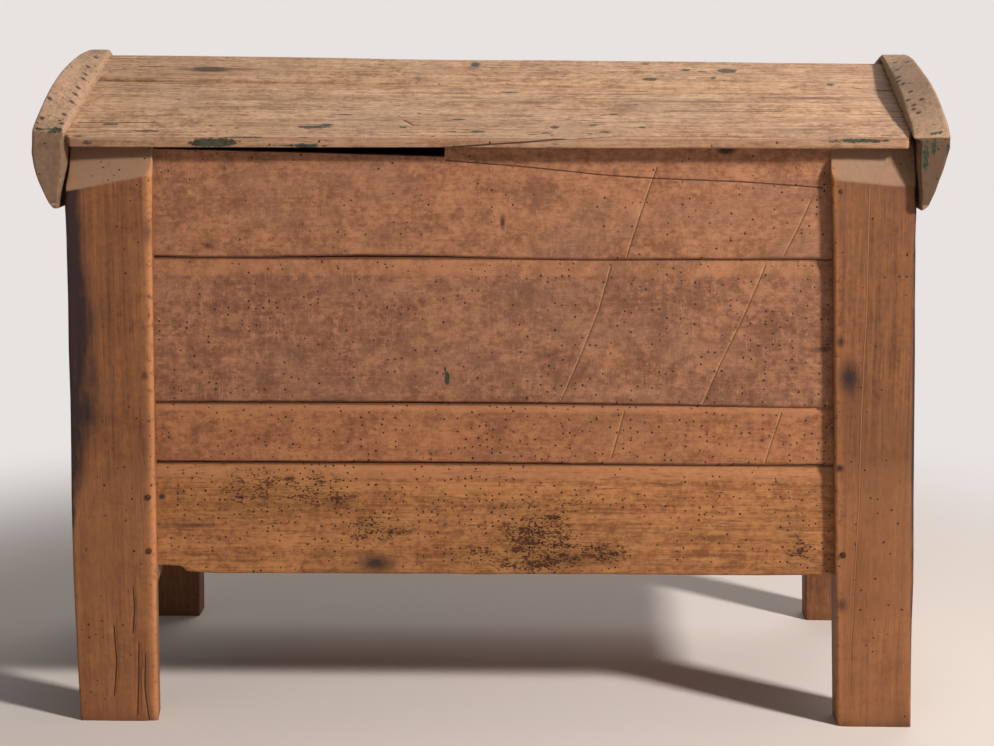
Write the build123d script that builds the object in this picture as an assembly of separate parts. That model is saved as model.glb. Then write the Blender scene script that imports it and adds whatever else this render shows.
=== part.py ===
from build123d import *

import math
import os

# A clamp-front chest of riven planks: four corner posts, plank walls slid into
# grooves in the posts, a plank floor, and a gabled lid that turns on two wooden
# pins. All sizes are millimetres. +X is to the right, the front faces -Y, +Z is
# up, and the origin is on the ground under the middle of the chest.

# Overall sizes
body_width = 1196.0        # over the outer faces of the posts, at their tops
body_depth = 600.0         # over the front and rear faces of the posts
eave_height = 847.0        # underside of the lid's front and rear edges
lid_slope = 17.6           # degrees
lid_overhang = 12.0        # lid edge beyond the posts' front and rear faces

# Clearances
joint_gap = 0.3            # a tongue in its groove, on each face
end_gap = 0.5              # the end of a board in its groove
peg_gap = 0.1              # a peg or a fixed pin in its hole, on the radius
hinge_gap = 0.1            # a hinge pin in the lid's ear, on the radius
seat_gap = 0.3             # between the lid and the post tops it rests on
ear_gap = 2.5              # between the lid's cleats and the posts' sides

# Corner posts
front_post_width = 120.0   # at the top
rear_post_width = 95.0
post_thickness = 60.0
taper_start = 740.0        # height below which a post's outer side leans out
front_left_foot_width = 115.0
front_right_foot_width = 106.0
rear_foot_width = 88.0
left_foot_splay = 8.0      # how far the foot stands out beyond the post's top
right_foot_splay = 18.0
bevel_rise = 52.0          # from the bevel's lower edge up to the eave
bevel_depth = 25.0
bevel_skew = 8.5           # degrees that the bevel's lower edge falls outwards
post_arris = 3.0
inner_arris_width = 8.0
inner_arris_depth = 12.0

# Wall boards
wall_thickness = 22.0
wall_recess = 18.0         # wall surface behind the posts' outer faces
wall_bottom = 222.0
wall_top_drop = 2.0        # wall top below the lid, at the wall's outer face
wall_groove_depth = 40.0   # in the posts' broad side, from the top's inner edge
tongue_thickness = 7.0
tongue_height = 10.0
tongue_inset = 9.0         # tongue's outer face behind the board's outer face
feather_step = 5.0         # how far a board's thin upper edge stands back
feather_height = 22.0
lower_arris = 3.0
front_joints = (389.0, 478.0, 690.0)
back_joints = (401.0, 548.0, 703.0)
left_joints = (432.0, 641.0)
right_joints = (419.0, 652.0)

# The split that has lost a sliver from the top front board
split_left = -420.0
split_right = -66.0
split_depth = 21.0

# Floor
floor_height = 250.0       # underside of the floor boards
floor_thickness = 18.0
floor_housing = 9.0        # depth of the floor's groove in the lowest boards
floor_tongue_thickness = 6.0
floor_tongue_length = 8.0
floor_board_count = 5
post_notch_gap = 1.0       # floor corner round a post

# Wall pegs
peg_radius = 4.5
peg_web = 4.0              # wood left between a peg's end and the post's inner face
peg_edge = 11.0            # peg behind the post's inner edge
peg_low = 38.0             # above the bottom of the wall
peg_high = 118.0
peg_top = 60.0             # below the eave

# Lid
lid_board_thickness = 14.0
ridge_board_thickness = 18.0
ridge_board_half = 100.0   # down each slope from the ridge
lid_tongue_thickness = 4.6
lid_tongue_length = 9.5
lid_tongue_inset = 4.7     # tongue above the boards' underside
lid_feather_step = 3.0
lid_feather_length = 18.0
lid_edge_radius = 5.0

# Cleats at the lid's ends
cleat_thickness = 43.0
cleat_ridge_thickness = 34.0
cleat_tip_thickness = 11.0
cleat_lip = 3.0            # cleat beyond the lid boards' edges
cleat_proud_eave = 6.5     # cleat's curved top above the boards, at the eave
cleat_proud_ridge = 7.0
cleat_housing = 18.0       # depth of the groove for the lid boards
cleat_band_low = 5.0       # the thickest band of the cleat, above the eave
cleat_band_high = 28.0
ear_drop = 86.0            # ear tip below the eave
ear_length = 82.0
ear_arch = 43.0            # rise of the arch between the ears
ear_radius = 14.0
cleat_corner_radius = 7.0
cleat_peg_radius = 3.5
cleat_peg_below = 13.0     # depth of a cleat's peg below the boards' underside
cleat_peg_count = 5        # on each slope
cleat_peg_inset = 10.0     # from the cleat's inner face
cleat_peg_first = 34.0     # from the eave edge, along the slope
cleat_peg_last = 42.0      # from the ridge, along the slope
cleat_peg_sunk = 0.8       # peg's end below the cleat's top

# Hinge pins
pin_radius = 9.0
pin_inset = 28.0           # from the posts' rear faces
pin_drop = 44.0            # below the eave
pin_depth = 46.0           # in the post
pin_proud = 38.0           # beyond the cleat's inner face
pin_hole_web = 5.0         # wood left between a pin and an end board's groove

# How far a cut runs past the wood's surface
overrun = 1.0
peg_hole_overrun = 6.0     # past a cleat's sloping top

# Sizes that follow
tan_slope = math.tan(math.radians(lid_slope))
sin_slope = math.sin(math.radians(lid_slope))
cos_slope = math.cos(math.radians(lid_slope))
half_width = body_width / 2
half_depth = body_depth / 2
lid_half_depth = half_depth + lid_overhang
ridge_underside = eave_height + lid_half_depth * tan_slope
front_face = half_depth - wall_recess
end_face = half_width - wall_recess
end_groove_depth = post_thickness - pin_inset - pin_radius - pin_hole_web
end_groove_bottom = half_depth - post_thickness + end_groove_depth
front_wall_top = eave_height + (half_depth - front_face + lid_overhang) * tan_slope - wall_top_drop
end_wall_top = front_wall_top
cleat_inner = half_width + ear_gap
pin_y = half_depth - pin_inset
pin_z = eave_height - pin_drop
slope_length = lid_half_depth / cos_slope
peg_length = post_thickness - peg_web
cleat_half = lid_half_depth + cleat_lip
cleat_corner = eave_height + lid_board_thickness / cos_slope + cleat_proud_eave
cleat_top = ridge_underside + ridge_board_thickness / cos_slope + cleat_proud_ridge
cleat_rise = cleat_top - cleat_corner
crown_radius = (cleat_half**2 + cleat_rise**2) / (2 * cleat_rise)

# Each corner's post: its width at the top and at the foot, and the foot's splay
corner_posts = {
    ("front", "left"): (front_post_width, front_left_foot_width, left_foot_splay),
    ("front", "right"): (front_post_width, front_right_foot_width, right_foot_splay),
    ("back", "left"): (rear_post_width, rear_foot_width, left_foot_splay),
    ("back", "right"): (rear_post_width, rear_foot_width, right_foot_splay),
}
signs = {"left": -1, "right": 1, "front": -1, "back": 1}


def prism_x(points, x_low, x_high):
    """A prism along X over points given as (y, z)."""
    face = make_face(Plane.YZ * Polyline(*points, close=True))
    return Pos(x_low, 0, 0) * extrude(face, amount=x_high - x_low, dir=(1, 0, 0))


def prism_y(points, y_low, y_high):
    """A prism along Y over points given as (x, z)."""
    face = make_face(Plane.XZ * Polyline(*points, close=True))
    return Pos(0, y_low, 0) * extrude(face, amount=y_high - y_low, dir=(0, 1, 0))


def block(x_low, x_high, y_low, y_high, z_low, z_high):
    """A box between two corners."""
    size = (x_high - x_low, y_high - y_low, z_high - z_low)
    return Pos(x_low, y_low, z_low) * Box(*size, align=(Align.MIN, Align.MIN, Align.MIN))


def rod_y(radius, x, z, y_low, y_high):
    """A cylinder along Y."""
    return Pos(x, (y_low + y_high) / 2, z) * Rot(90, 0, 0) * Cylinder(radius, y_high - y_low)


def rod_x(radius, y, z, x_low, x_high):
    """A cylinder along X."""
    return Pos((x_low + x_high) / 2, y, z) * Rot(0, 90, 0) * Cylinder(radius, x_high - x_low)


def lid_underside(y):
    """Height of the lid's underside above the ground, at a distance y from the middle."""
    return eave_height + (lid_half_depth - abs(y)) * tan_slope


def wall_groove_bottom(width):
    """Distance from the chest's middle to the bottom of a wall's groove in a post."""
    return half_width - width + wall_groove_depth


def post_inner_edge(width, foot_width, foot_splay, z):
    """Distance from the chest's middle to a post's inner edge, at a height z."""
    inner_edge = half_width - width
    foot_inner = half_width + foot_splay - foot_width
    return inner_edge + (foot_inner - inner_edge) * (1 - z / ridge_underside)


def post_outer_edge(foot_splay, z):
    """Distance from the chest's middle to a post's outer side, at a height z."""
    return half_width + foot_splay * max(0.0, 1 - z / taper_start)


def wall_peg_heights():
    """Heights of the pegs that lock the walls into a post."""
    return (wall_bottom + peg_low, wall_bottom + peg_high, eave_height - peg_top)


def front_peg_places(sizes):
    """(x, z) of each peg through the front or rear face of a post, on the +X side."""
    return [(post_inner_edge(*sizes, z) + peg_edge, z) for z in wall_peg_heights()]


def end_peg_places():
    """(y, z) of each peg through the side face of a post, at the rear."""
    y = end_groove_bottom - end_groove_depth / 2
    return [(y, z) for z in wall_peg_heights()[:2]]


def post(width, foot_width, foot_splay, hinged):
    """A post as at the rear right: tapered, bevelled on top, and grooved for two walls."""
    high = ridge_underside
    inner_edge = half_width - width
    inner_y = half_depth - post_thickness
    outline = [(inner_edge, high), (half_width, high), (half_width, taper_start)]
    outline += [(half_width + foot_splay, 0), (half_width + foot_splay - foot_width, 0)]
    solid = prism_y(outline, inner_y, half_depth)
    long_edges = [e for e in solid.edges() if e.length > width * 2]
    inner = [e for e in long_edges if e.center().X < half_width - width / 2]
    arris = [e for e in inner if e.center().Y > inner_y + post_arris]
    solid = chamfer(arris, inner_arris_width, inner_arris_depth)
    long_edges = [e for e in solid.edges() if e.length > width * 2]
    outer = [e for e in long_edges if e.center().X > half_width - width / 2]
    solid = chamfer(outer, post_arris)

    seat_drop = seat_gap / cos_slope
    y_low, y_high = inner_y - overrun, half_depth + overrun
    seat = [(y_low, lid_underside(y_low) - seat_drop), (y_low, high + overrun)]
    seat += [(y_high, high + overrun), (y_high, lid_underside(y_high) - seat_drop)]
    outside = half_width + foot_splay + overrun
    solid -= prism_x(seat, inner_edge - overrun, outside)

    bevel_top = lid_underside(half_depth - bevel_depth)
    bevel_foot = eave_height - bevel_rise
    steep = (bevel_top - bevel_foot) / bevel_depth
    reach = post_thickness
    wedge = [(half_depth, bevel_foot), (half_depth + reach, bevel_foot - reach * steep)]
    wedge += [(half_depth + reach, bevel_top + reach * steep)]
    wedge += [(half_depth - bevel_depth - reach, bevel_top + reach * steep)]
    tool = prism_x(wedge, -width, width)
    middle = half_width - width / 2
    turn = Pos(middle, 0, bevel_foot) * Rot(0, bevel_skew, 0) * Pos(0, 0, -bevel_foot)
    solid -= turn * tool

    solid -= block(inner_edge - overrun, wall_groove_bottom(width), front_face - wall_thickness - joint_gap,
                   front_face + joint_gap, wall_bottom - joint_gap, high)
    solid -= block(end_face - wall_thickness - joint_gap, end_face + joint_gap,
                   inner_y - overrun, end_groove_bottom, wall_bottom - joint_gap, high)
    for x, z in front_peg_places((width, foot_width, foot_splay)):
        solid -= rod_y(peg_radius + peg_gap, x, z, half_depth - peg_length, y_high)
    for y, z in end_peg_places():
        solid -= rod_x(peg_radius + peg_gap, y, z, half_width - peg_length, outside)
    if hinged:
        solid -= rod_x(pin_radius + peg_gap, pin_y, pin_z, half_width - pin_depth, outside)
    return solid


def post_pegs(width, foot_width, foot_splay):
    """The pegs of a post as at the rear right, cut flush with its tapered outer face."""
    pegs = []
    for x, z in front_peg_places((width, foot_width, foot_splay)):
        inside = half_depth - bevel_trim(width, x, z)
        pegs.append(rod_y(peg_radius, x, z, half_depth - peg_length + end_gap, inside))
    for y, z in end_peg_places():
        outside = post_outer_edge(foot_splay, z)
        pegs.append(rod_x(peg_radius, y, z, half_width - peg_length + end_gap, outside))
    return Compound(children=pegs)


def bevel_trim(width, x, z):
    """How far the bevel on a post's top takes its face back at a peg."""
    middle = half_width - width / 2
    foot = eave_height - bevel_rise - (x - middle) * math.tan(math.radians(bevel_skew))
    rise = lid_underside(half_depth - bevel_depth) - (eave_height - bevel_rise)
    above = max(0.0, z + peg_radius - foot)
    return above * bevel_depth / rise


def wall_board(half_length, z_low, z_high, tongue, groove):
    """A wall board along X with its outer face at y = 0 and its thickness towards +Y.

    Its upper edge is thinned to a feather with a tongue, and its lower edge is
    thick and grooved for the board below.
    """
    outline = [(lower_arris, z_low), (0, z_low + lower_arris)]
    if tongue:
        outline += [(0, z_high - feather_height), (feather_step, z_high)]
        outline += [(tongue_inset, z_high), (tongue_inset, z_high + tongue_height)]
        outline += [(tongue_inset + tongue_thickness, z_high + tongue_height)]
        outline += [(tongue_inset + tongue_thickness, z_high), (wall_thickness, z_high)]
    else:
        outline += [(0, z_high), (wall_thickness, z_high)]
    outline += [(wall_thickness, z_low)]
    board = prism_x(outline, -half_length, half_length)
    if groove:
        board -= block(-half_length - overrun, half_length + overrun, tongue_inset - joint_gap,
                       tongue_inset + tongue_thickness + joint_gap,
                       z_low - overrun, z_low + tongue_height + end_gap)
    return board


def wall(joints, top, half_length, face_distance, turn, floor_groove_low):
    """The boards of one wall, from the lowest up, turned about Z to their side."""
    edges = (wall_bottom,) + joints + (top,)
    boards = []
    for number in range(len(edges) - 1):
        lowest = number == 0
        highest = number == len(edges) - 2
        board = wall_board(half_length, edges[number], edges[number + 1],
                           tongue=not highest, groove=not lowest)
        if lowest:
            board -= block(-half_length - overrun, half_length + overrun,
                           wall_thickness - floor_housing, wall_thickness + overrun,
                           floor_groove_low - joint_gap,
                           floor_groove_low + floor_thickness + joint_gap)
        boards.append(Rot(0, 0, turn) * Pos(0, -face_distance, 0) * board)
    return boards


def peg_holes():
    """Every wall peg's hole, as rods to cut from the boards."""
    holes = []
    for (end_name, side_name), sizes in corner_posts.items():
        end, side = signs[end_name], signs[side_name]
        for x, z in front_peg_places(sizes):
            near, far = sorted((end * (half_depth - peg_length), end * half_depth))
            holes.append(rod_y(peg_radius + peg_gap, side * x, z, near, far))
        for y, z in end_peg_places():
            near, far = sorted((side * (half_width - peg_length), side * half_width))
            holes.append(rod_x(peg_radius + peg_gap, end * y, z, near, far))
    return holes


def floor_boards():
    """The floor boards, running from front to back and tongued into each other."""
    reach_x = end_face - wall_thickness + floor_housing - end_gap
    reach_y = front_face - wall_thickness + floor_housing - end_gap
    width = 2 * reach_x / floor_board_count
    tongue_low = floor_height + (floor_thickness - floor_tongue_thickness) / 2
    tongue_high = tongue_low + floor_tongue_thickness
    post_y = half_depth - post_thickness - post_notch_gap
    boards = []
    for number in range(floor_board_count):
        low = -reach_x + number * width
        board = block(low, low + width, -reach_y, reach_y, floor_height,
                      floor_height + floor_thickness)
        if number:
            board += block(low - floor_tongue_length, low, -reach_y, reach_y,
                           tongue_low, tongue_high)
        if number < floor_board_count - 1:
            board -= block(low + width - floor_tongue_length - end_gap, low + width + overrun,
                           -reach_y - overrun, reach_y + overrun,
                           tongue_low - joint_gap, tongue_high + joint_gap)
        for (end_name, side_name), sizes in corner_posts.items():
            end, side = signs[end_name], signs[side_name]
            post_x = post_inner_edge(*sizes, floor_height + floor_thickness) - post_notch_gap
            x_pair = sorted((side * post_x, side * body_width))
            y_pair = sorted((end * post_y, end * body_depth))
            board -= block(*x_pair, *y_pair, 0, eave_height)
        boards.append(board)
    return boards


def slope_point(s, n):
    """(y, z) of a point s down the rear slope from the ridge and n above its underside."""
    y = s * cos_slope + n * sin_slope
    z = ridge_underside - s * sin_slope + n * cos_slope
    return (y, z)


def ridge_board(reach):
    """The hewn ridge board, grooved along both lower edges."""
    n_low = lid_tongue_inset - joint_gap
    n_high = lid_tongue_inset + lid_tongue_thickness + joint_gap
    s_groove = ridge_board_half - lid_tongue_length - end_gap
    side = [slope_point(ridge_board_half, ridge_board_thickness)]
    side += [slope_point(ridge_board_half, n_high), slope_point(s_groove, n_high)]
    side += [slope_point(s_groove, n_low), slope_point(ridge_board_half, n_low)]
    side += [slope_point(ridge_board_half, 0)]
    top = (0, ridge_underside + ridge_board_thickness / cos_slope)
    outline = [top] + side + [(0, ridge_underside)]
    outline += [(-y, z) for y, z in reversed(side)]
    return prism_x(outline, -reach, reach)


def slope_board(reach):
    """The rear slope's board, tongued into the ridge board and rounded at the eave."""
    n_low = lid_tongue_inset
    n_high = lid_tongue_inset + lid_tongue_thickness
    s_top = ridge_board_half
    s_tip = ridge_board_half - lid_tongue_length
    edge_top = (lid_half_depth, eave_height + lid_board_thickness / cos_slope)
    outline = [slope_point(s_top, 0), slope_point(s_top, n_low), slope_point(s_tip, n_low)]
    outline += [slope_point(s_tip, n_high), slope_point(s_top, n_high)]
    outline += [slope_point(s_top, lid_board_thickness - lid_feather_step)]
    outline += [slope_point(s_top + lid_feather_length, lid_board_thickness)]
    outline += [edge_top, (lid_half_depth, eave_height)]
    board = prism_x(outline, -reach, reach)
    eave = [e for e in board.edges() if e.length > reach and abs(e.center().Y - edge_top[0]) < 0.01
            and abs(e.center().Z - edge_top[1]) < 0.01]
    return fillet(eave, lid_edge_radius)


def cleat_outline():
    """The cleat's outline in YZ: a curved top, and an arch between the two ears."""
    tip = eave_height - ear_drop
    arch_end = cleat_half - ear_length
    rear = FilletPolyline((cleat_half, cleat_corner), (cleat_half, tip), (arch_end, tip),
                          radius=ear_radius)
    front = FilletPolyline((-arch_end, tip), (-cleat_half, tip), (-cleat_half, cleat_corner),
                           radius=ear_radius)
    crown = ThreePointArc((-cleat_half, cleat_corner), (0, cleat_top), (cleat_half, cleat_corner))
    arch = ThreePointArc((arch_end, tip), (0, tip + ear_arch), (-arch_end, tip))
    return make_face(Plane.YZ * (Curve() + [crown, rear, arch, front]))


def cleat_peg_places():
    """Distances down the slope of the pegs through a cleat."""
    first = slope_length - cleat_peg_first
    step = (first - cleat_peg_last) / (cleat_peg_count - 1)
    return [cleat_peg_last + number * step for number in range(cleat_peg_count)]


def cleat_peg(s, radius, below, above):
    """A rod square to the rear slope, reaching below and above the boards' underside."""
    y, z = slope_point(s, (above - below) / 2)
    rod = Cylinder(radius, above + below)
    return Pos(cleat_inner + cleat_peg_inset, y, z) * Rot(-lid_slope, 0, 0) * rod


def cleat_top_over_slope(s):
    """Height of the cleat's curved top above the boards' underside, square to the slope at s."""
    y, z = slope_point(s, 0)
    over_centre = z - (cleat_top - crown_radius)
    along = y * sin_slope + over_centre * cos_slope
    return math.sqrt(along**2 - y**2 - over_centre**2 + crown_radius**2) - along


def lid_groove():
    """The space that the lid boards' ends take in the right cleat, with their clearance."""
    low, high = -joint_gap, ridge_board_thickness + joint_gap
    thin = lid_board_thickness + joint_gap
    rear_edge = lid_half_depth + joint_gap
    drop = (lid_half_depth - rear_edge) * tan_slope
    side = [slope_point(ridge_board_half + joint_gap, high)]
    side += [slope_point(ridge_board_half + joint_gap, thin)]
    side += [(rear_edge, eave_height + drop + thin / cos_slope)]
    side += [(rear_edge, eave_height + drop - joint_gap / cos_slope)]
    outline = [(0, ridge_underside + high / cos_slope)] + side
    outline += [(0, ridge_underside + low / cos_slope)]
    outline += [(-y, z) for y, z in reversed(side)]
    return prism_x(outline, cleat_inner - overrun, cleat_inner + cleat_housing)


def cleat():
    """The right cleat: a hewn, crowned end, thickest at the eave, with an ear at each end."""
    side = Pos(cleat_inner, 0, 0) * extrude(cleat_outline(), amount=cleat_thickness, dir=(1, 0, 0))
    corners = [e for e in side.edges() if abs(abs(e.center().Y) - cleat_half) < 0.01
               and abs(e.center().Z - cleat_corner) < 0.01]
    side = fillet(corners, cleat_corner_radius)
    tip = eave_height - ear_drop
    section = [(cleat_inner, tip), (cleat_inner + cleat_tip_thickness, tip)]
    section += [(cleat_inner + cleat_thickness, eave_height + cleat_band_low)]
    section += [(cleat_inner + cleat_thickness, eave_height + cleat_band_high)]
    section += [(cleat_inner + cleat_ridge_thickness, cleat_top + overrun)]
    section += [(cleat_inner, cleat_top + overrun)]
    reach = cleat_half + overrun
    solid = side & prism_y(section, -reach, reach)
    solid -= lid_groove()
    for hole in cleat_peg_holes():
        solid -= hole
    solid -= rod_x(pin_radius + hinge_gap, pin_y, pin_z, cleat_inner - overrun,
                   cleat_inner + cleat_thickness + overrun)
    return solid


def cleat_pegs():
    """The pegs of the right cleat, ending just under its top."""
    pegs = []
    for s in cleat_peg_places():
        above = cleat_top_over_slope(s) - cleat_peg_sunk
        peg = cleat_peg(s, cleat_peg_radius, cleat_peg_below - end_gap, above)
        pegs += [peg, mirror(peg, about=Plane.XZ)]
    return pegs


def cleat_peg_holes():
    """The holes for the right cleat's pegs, on both slopes."""
    holes = []
    for s in cleat_peg_places():
        above = cleat_top_over_slope(s) + peg_hole_overrun
        hole = cleat_peg(s, cleat_peg_radius + peg_gap, cleat_peg_below, above)
        holes += [hole, mirror(hole, about=Plane.XZ)]
    return holes


def lid_peg_holes():
    """Holes through the lid boards' ends for every cleat peg."""
    right = cleat_peg_holes()
    return right + [mirror(hole, about=Plane.YZ) for hole in right]


def build():
    """Every node's name and shape."""
    nodes = {}
    for (end, side), sizes in corner_posts.items():
        solid = post(*sizes, hinged=end == "back")
        pegs = post_pegs(*sizes)
        if side == "left":
            solid, pegs = mirror(solid, about=Plane.YZ), mirror(pegs, about=Plane.YZ)
        if end == "front":
            solid, pegs = mirror(solid, about=Plane.XZ), mirror(pegs, about=Plane.XZ)
        nodes[f"{end}_{side}_post"] = solid
        nodes[f"{end}_{side}_post_pegs"] = pegs

    front_half = wall_groove_bottom(front_post_width) - end_gap
    rear_half = wall_groove_bottom(rear_post_width) - end_gap
    short_half = end_groove_bottom - end_gap
    walls = {
        "front": wall(front_joints, front_wall_top, front_half, front_face, 0, floor_height),
        "back": wall(back_joints, front_wall_top, rear_half, front_face, 180, floor_height),
        "left_end": wall(left_joints, end_wall_top, short_half, end_face, -90, floor_height),
        "right_end": wall(right_joints, end_wall_top, short_half, end_face, 90, floor_height),
    }
    holes = peg_holes()
    split = [(split_left, front_wall_top), (split_left, front_wall_top + overrun)]
    split += [(split_right, front_wall_top + overrun), (split_right, front_wall_top - split_depth)]
    for name, boards in walls.items():
        for number, board in enumerate(boards, start=1):
            for hole in holes:
                board -= hole
            if name == "front" and number == len(boards):
                board -= prism_y(split, -half_depth, 0)
            nodes[f"{name}_board_{number}"] = board

    for number, board in enumerate(floor_boards(), start=1):
        nodes[f"floor_board_{number}"] = board

    reach = cleat_inner + cleat_housing - end_gap
    back_slope = slope_board(reach)
    boards = {"ridge_board": ridge_board(reach), "lid_back_board": back_slope,
              "lid_front_board": mirror(back_slope, about=Plane.XZ)}
    for name, board in boards.items():
        for hole in lid_peg_holes():
            board -= hole
        nodes[name] = board
    right_cleat = cleat()
    nodes["right_cleat"] = right_cleat
    nodes["left_cleat"] = mirror(right_cleat, about=Plane.YZ)
    pegs = cleat_pegs()
    nodes["right_cleat_pegs"] = Compound(children=pegs)
    nodes["left_cleat_pegs"] = Compound(children=[mirror(p, about=Plane.YZ) for p in pegs])

    pin = rod_x(pin_radius, pin_y, pin_z, half_width - pin_depth + end_gap, cleat_inner + pin_proud)
    nodes["right_hinge_pin"] = pin
    nodes["left_hinge_pin"] = mirror(pin, about=Plane.YZ)
    return nodes


os.makedirs("parts", exist_ok=True)
for node_name, shape in build().items():
    export_step(shape, f"parts/{node_name}.step")
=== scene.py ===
import logging
import math
from dataclasses import dataclass
from enum import Enum

import bpy
import numpy as np
from mathutils import Euler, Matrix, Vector


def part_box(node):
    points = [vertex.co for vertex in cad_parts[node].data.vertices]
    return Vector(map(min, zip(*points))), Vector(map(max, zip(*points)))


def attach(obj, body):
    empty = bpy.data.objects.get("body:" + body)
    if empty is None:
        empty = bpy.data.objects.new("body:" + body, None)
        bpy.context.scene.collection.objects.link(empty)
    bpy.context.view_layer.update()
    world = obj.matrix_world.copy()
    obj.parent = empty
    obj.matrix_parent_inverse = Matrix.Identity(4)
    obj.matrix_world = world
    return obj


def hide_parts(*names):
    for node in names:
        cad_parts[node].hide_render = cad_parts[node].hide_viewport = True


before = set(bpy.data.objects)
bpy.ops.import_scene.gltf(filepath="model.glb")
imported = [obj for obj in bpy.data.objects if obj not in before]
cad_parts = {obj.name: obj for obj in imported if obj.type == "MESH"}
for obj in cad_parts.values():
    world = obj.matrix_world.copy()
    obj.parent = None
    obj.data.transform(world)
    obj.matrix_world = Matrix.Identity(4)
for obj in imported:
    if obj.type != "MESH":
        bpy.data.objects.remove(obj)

# An old chest of riven planks. Every plank, post and peg is worked out in
# millimetres as a surface with its own waves, splits and worn arrises, and
# carries named fields, such as stain and worm, that its finish reads. The marks
# drawn on the front and the lid stand where the photograph shows them.

log = logging.getLogger("chest")
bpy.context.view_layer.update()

Array = np.ndarray
Colour = tuple[float, float, float, float]
Path = tuple[tuple[float, float], ...]
Socket = bpy.types.NodeSocket
Terms = tuple[tuple[Socket, float], ...]


# Sizes shared by several pieces, in mm


@dataclass(frozen=True)
class ChestSizes:
    """The frame's sizes that the planks share, in mm."""

    post_face: float = 300.0
    post_back: float = 240.0
    post_top_half: float = 598.0
    front_post_width: float = 120.0
    rear_post_width: float = 95.0
    taper_start: float = 740.0
    wall_face: float = 282.0
    end_face: float = 580.0
    wall_thickness: float = 22.0
    wall_bottom: float = 222.0
    wall_top: float = 854.5
    eave: float = 847.0
    lid_half_depth: float = 312.0
    slope: float = math.radians(17.6)
    board_thickness: float = 14.0
    ridge_thickness: float = 18.0
    ridge_half: float = 100.0
    lid_board_half: float = 618.0
    cleat_inner: float = 600.5
    hinge_depth: float = 272.0
    hinge_height: float = 803.0
    low_peg_heights: tuple[float, float] = (260.0, 340.0)
    high_peg_height: float = 787.0

    @property
    def ridge_underside(self) -> float:
        """Height of the lid's underside at the ridge."""
        return self.eave + self.lid_half_depth * math.tan(self.slope)


SIZES = ChestSizes()
SAME_PLACE = 0.01  # a vertex this near the first or last grid line is on that face
LINE_REACH = 12.0  # distances to drawn lines are held within this


# Surfaces


def lines(low: float, high: float, step: float, also: tuple[float, ...] = ()) -> Array:
    """Grid lines about a step apart, with lines at the given places as well.

    Args:
        low: first line.
        high: last line.
        step: distance between the even lines.
        also: places that get a line of their own.

    Returns:
        The lines in rising order.
    """
    even = np.linspace(low, high, max(1, round((high - low) / step)) + 1)
    extra = np.array([place for place in also if low < place < high])
    if extra.size == 0:
        return even
    near = np.abs(even[:, None] - extra[None, :]).min(axis=1) < 0.3 * step
    near[[0, -1]] = False
    return np.union1d(even[~near], extra)


def arris_lines(low: float, high: float, radius: float) -> tuple[float, ...]:
    """Places of the extra lines that let a rounded arris curve at both ends of a span."""
    steps = (0.0761, 0.2929, 0.6173, 1.0)
    return tuple(low + radius * s for s in steps) + tuple(high - radius * s for s in steps)


def block_skin(xs: Array, ys: Array, zs: Array) -> tuple[Array, Array]:
    """The outside of a block cut by three sets of grid lines.

    Formula: each crossing (x, y, z) of three lines that lies on the outside is a vertex,
    and each cell side on the outside is a four-sided face, wound so that it looks outwards.

    Args:
        xs: lines along X.
        ys: lines along Y.
        zs: lines along Z.

    Returns:
        Vertices (n, 3) and faces (m, 4).
    """
    shape = (len(xs), len(ys), len(zs))
    outside = np.ones(shape, bool)
    outside[1:-1, 1:-1, 1:-1] = False
    number = np.full(shape, -1)
    number[outside] = np.arange(outside.sum())
    i, j, k = np.nonzero(outside)
    points = np.stack([xs[i], ys[j], zs[k]], axis=1)
    sides = [
        (number[-1, :, :], True), (number[0, :, :], False),
        (number[:, 0, :], True), (number[:, -1, :], False),
        (number[:, :, -1], True), (number[:, :, 0], False),
    ]
    faces = []
    for sheet, forward in sides:
        cell = np.stack([sheet[:-1, :-1], sheet[1:, :-1], sheet[1:, 1:], sheet[:-1, 1:]], axis=-1)
        cell = cell.reshape(-1, 4)
        faces.append(cell if forward else cell[:, ::-1])
    return points, np.concatenate(faces)


def round_arrises(points: Array, low: Array, high: Array, radius: float) -> Array:
    """Rounds a block's arrises and corners.

    Formula: the nearest point of the block shrunk by the radius is the centre, and each
    vertex moves to the radius from its centre.
    """
    core = np.clip(points, low + radius, high - radius)
    out = points - core
    length = np.linalg.norm(out, axis=1, keepdims=True)
    return core + out * radius / np.maximum(length, 1e-6)


def rolling(u: Array, v: Array, cell_u: float, cell_v: float, seed: int) -> Array:
    """Smooth unevenness between -1 and 1, such as an adze or a hand leaves.

    Formula: random heights stand on the corners of a lattice with cells cell_u by cell_v,
    and a smoothstep joins them in both directions.
    """
    table = np.random.default_rng(seed).uniform(-1, 1, (61, 61))
    a, b = u / cell_u + 31.3, v / cell_v + 17.7
    i, j = np.floor(a).astype(int), np.floor(b).astype(int)
    s, t = a - i, b - j
    s, t = s * s * (3 - 2 * s), t * t * (3 - 2 * t)
    rows = [table[(i + p) % 61, j % 61] * (1 - t) + table[(i + p) % 61, (j + 1) % 61] * t
            for p in (0, 1)]
    return rows[0] * (1 - s) + rows[1] * s


def riven(along: Array, across: Array, seed: int) -> Array:
    """Split wood's surface, in mm: long low ridges along the grain over slow waves."""
    ridges = rolling(along, across, 190.0, 6.5, seed) * 0.16
    waves = rolling(along, across, 240.0, 34.0, seed + 1) * 0.45
    hollows = rolling(along, across, 330.0, 120.0, seed + 2) * 0.7
    return ridges + waves + hollows


def weathered(along: Array, across: Array, seed: int) -> Array:
    """The lid's surface, in mm: riven wood that rain has washed into fine ridges."""
    return riven(along, across, seed) * 0.8 + 0.3 * rolling(along, across, 120.0, 4.5, seed + 5)


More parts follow.
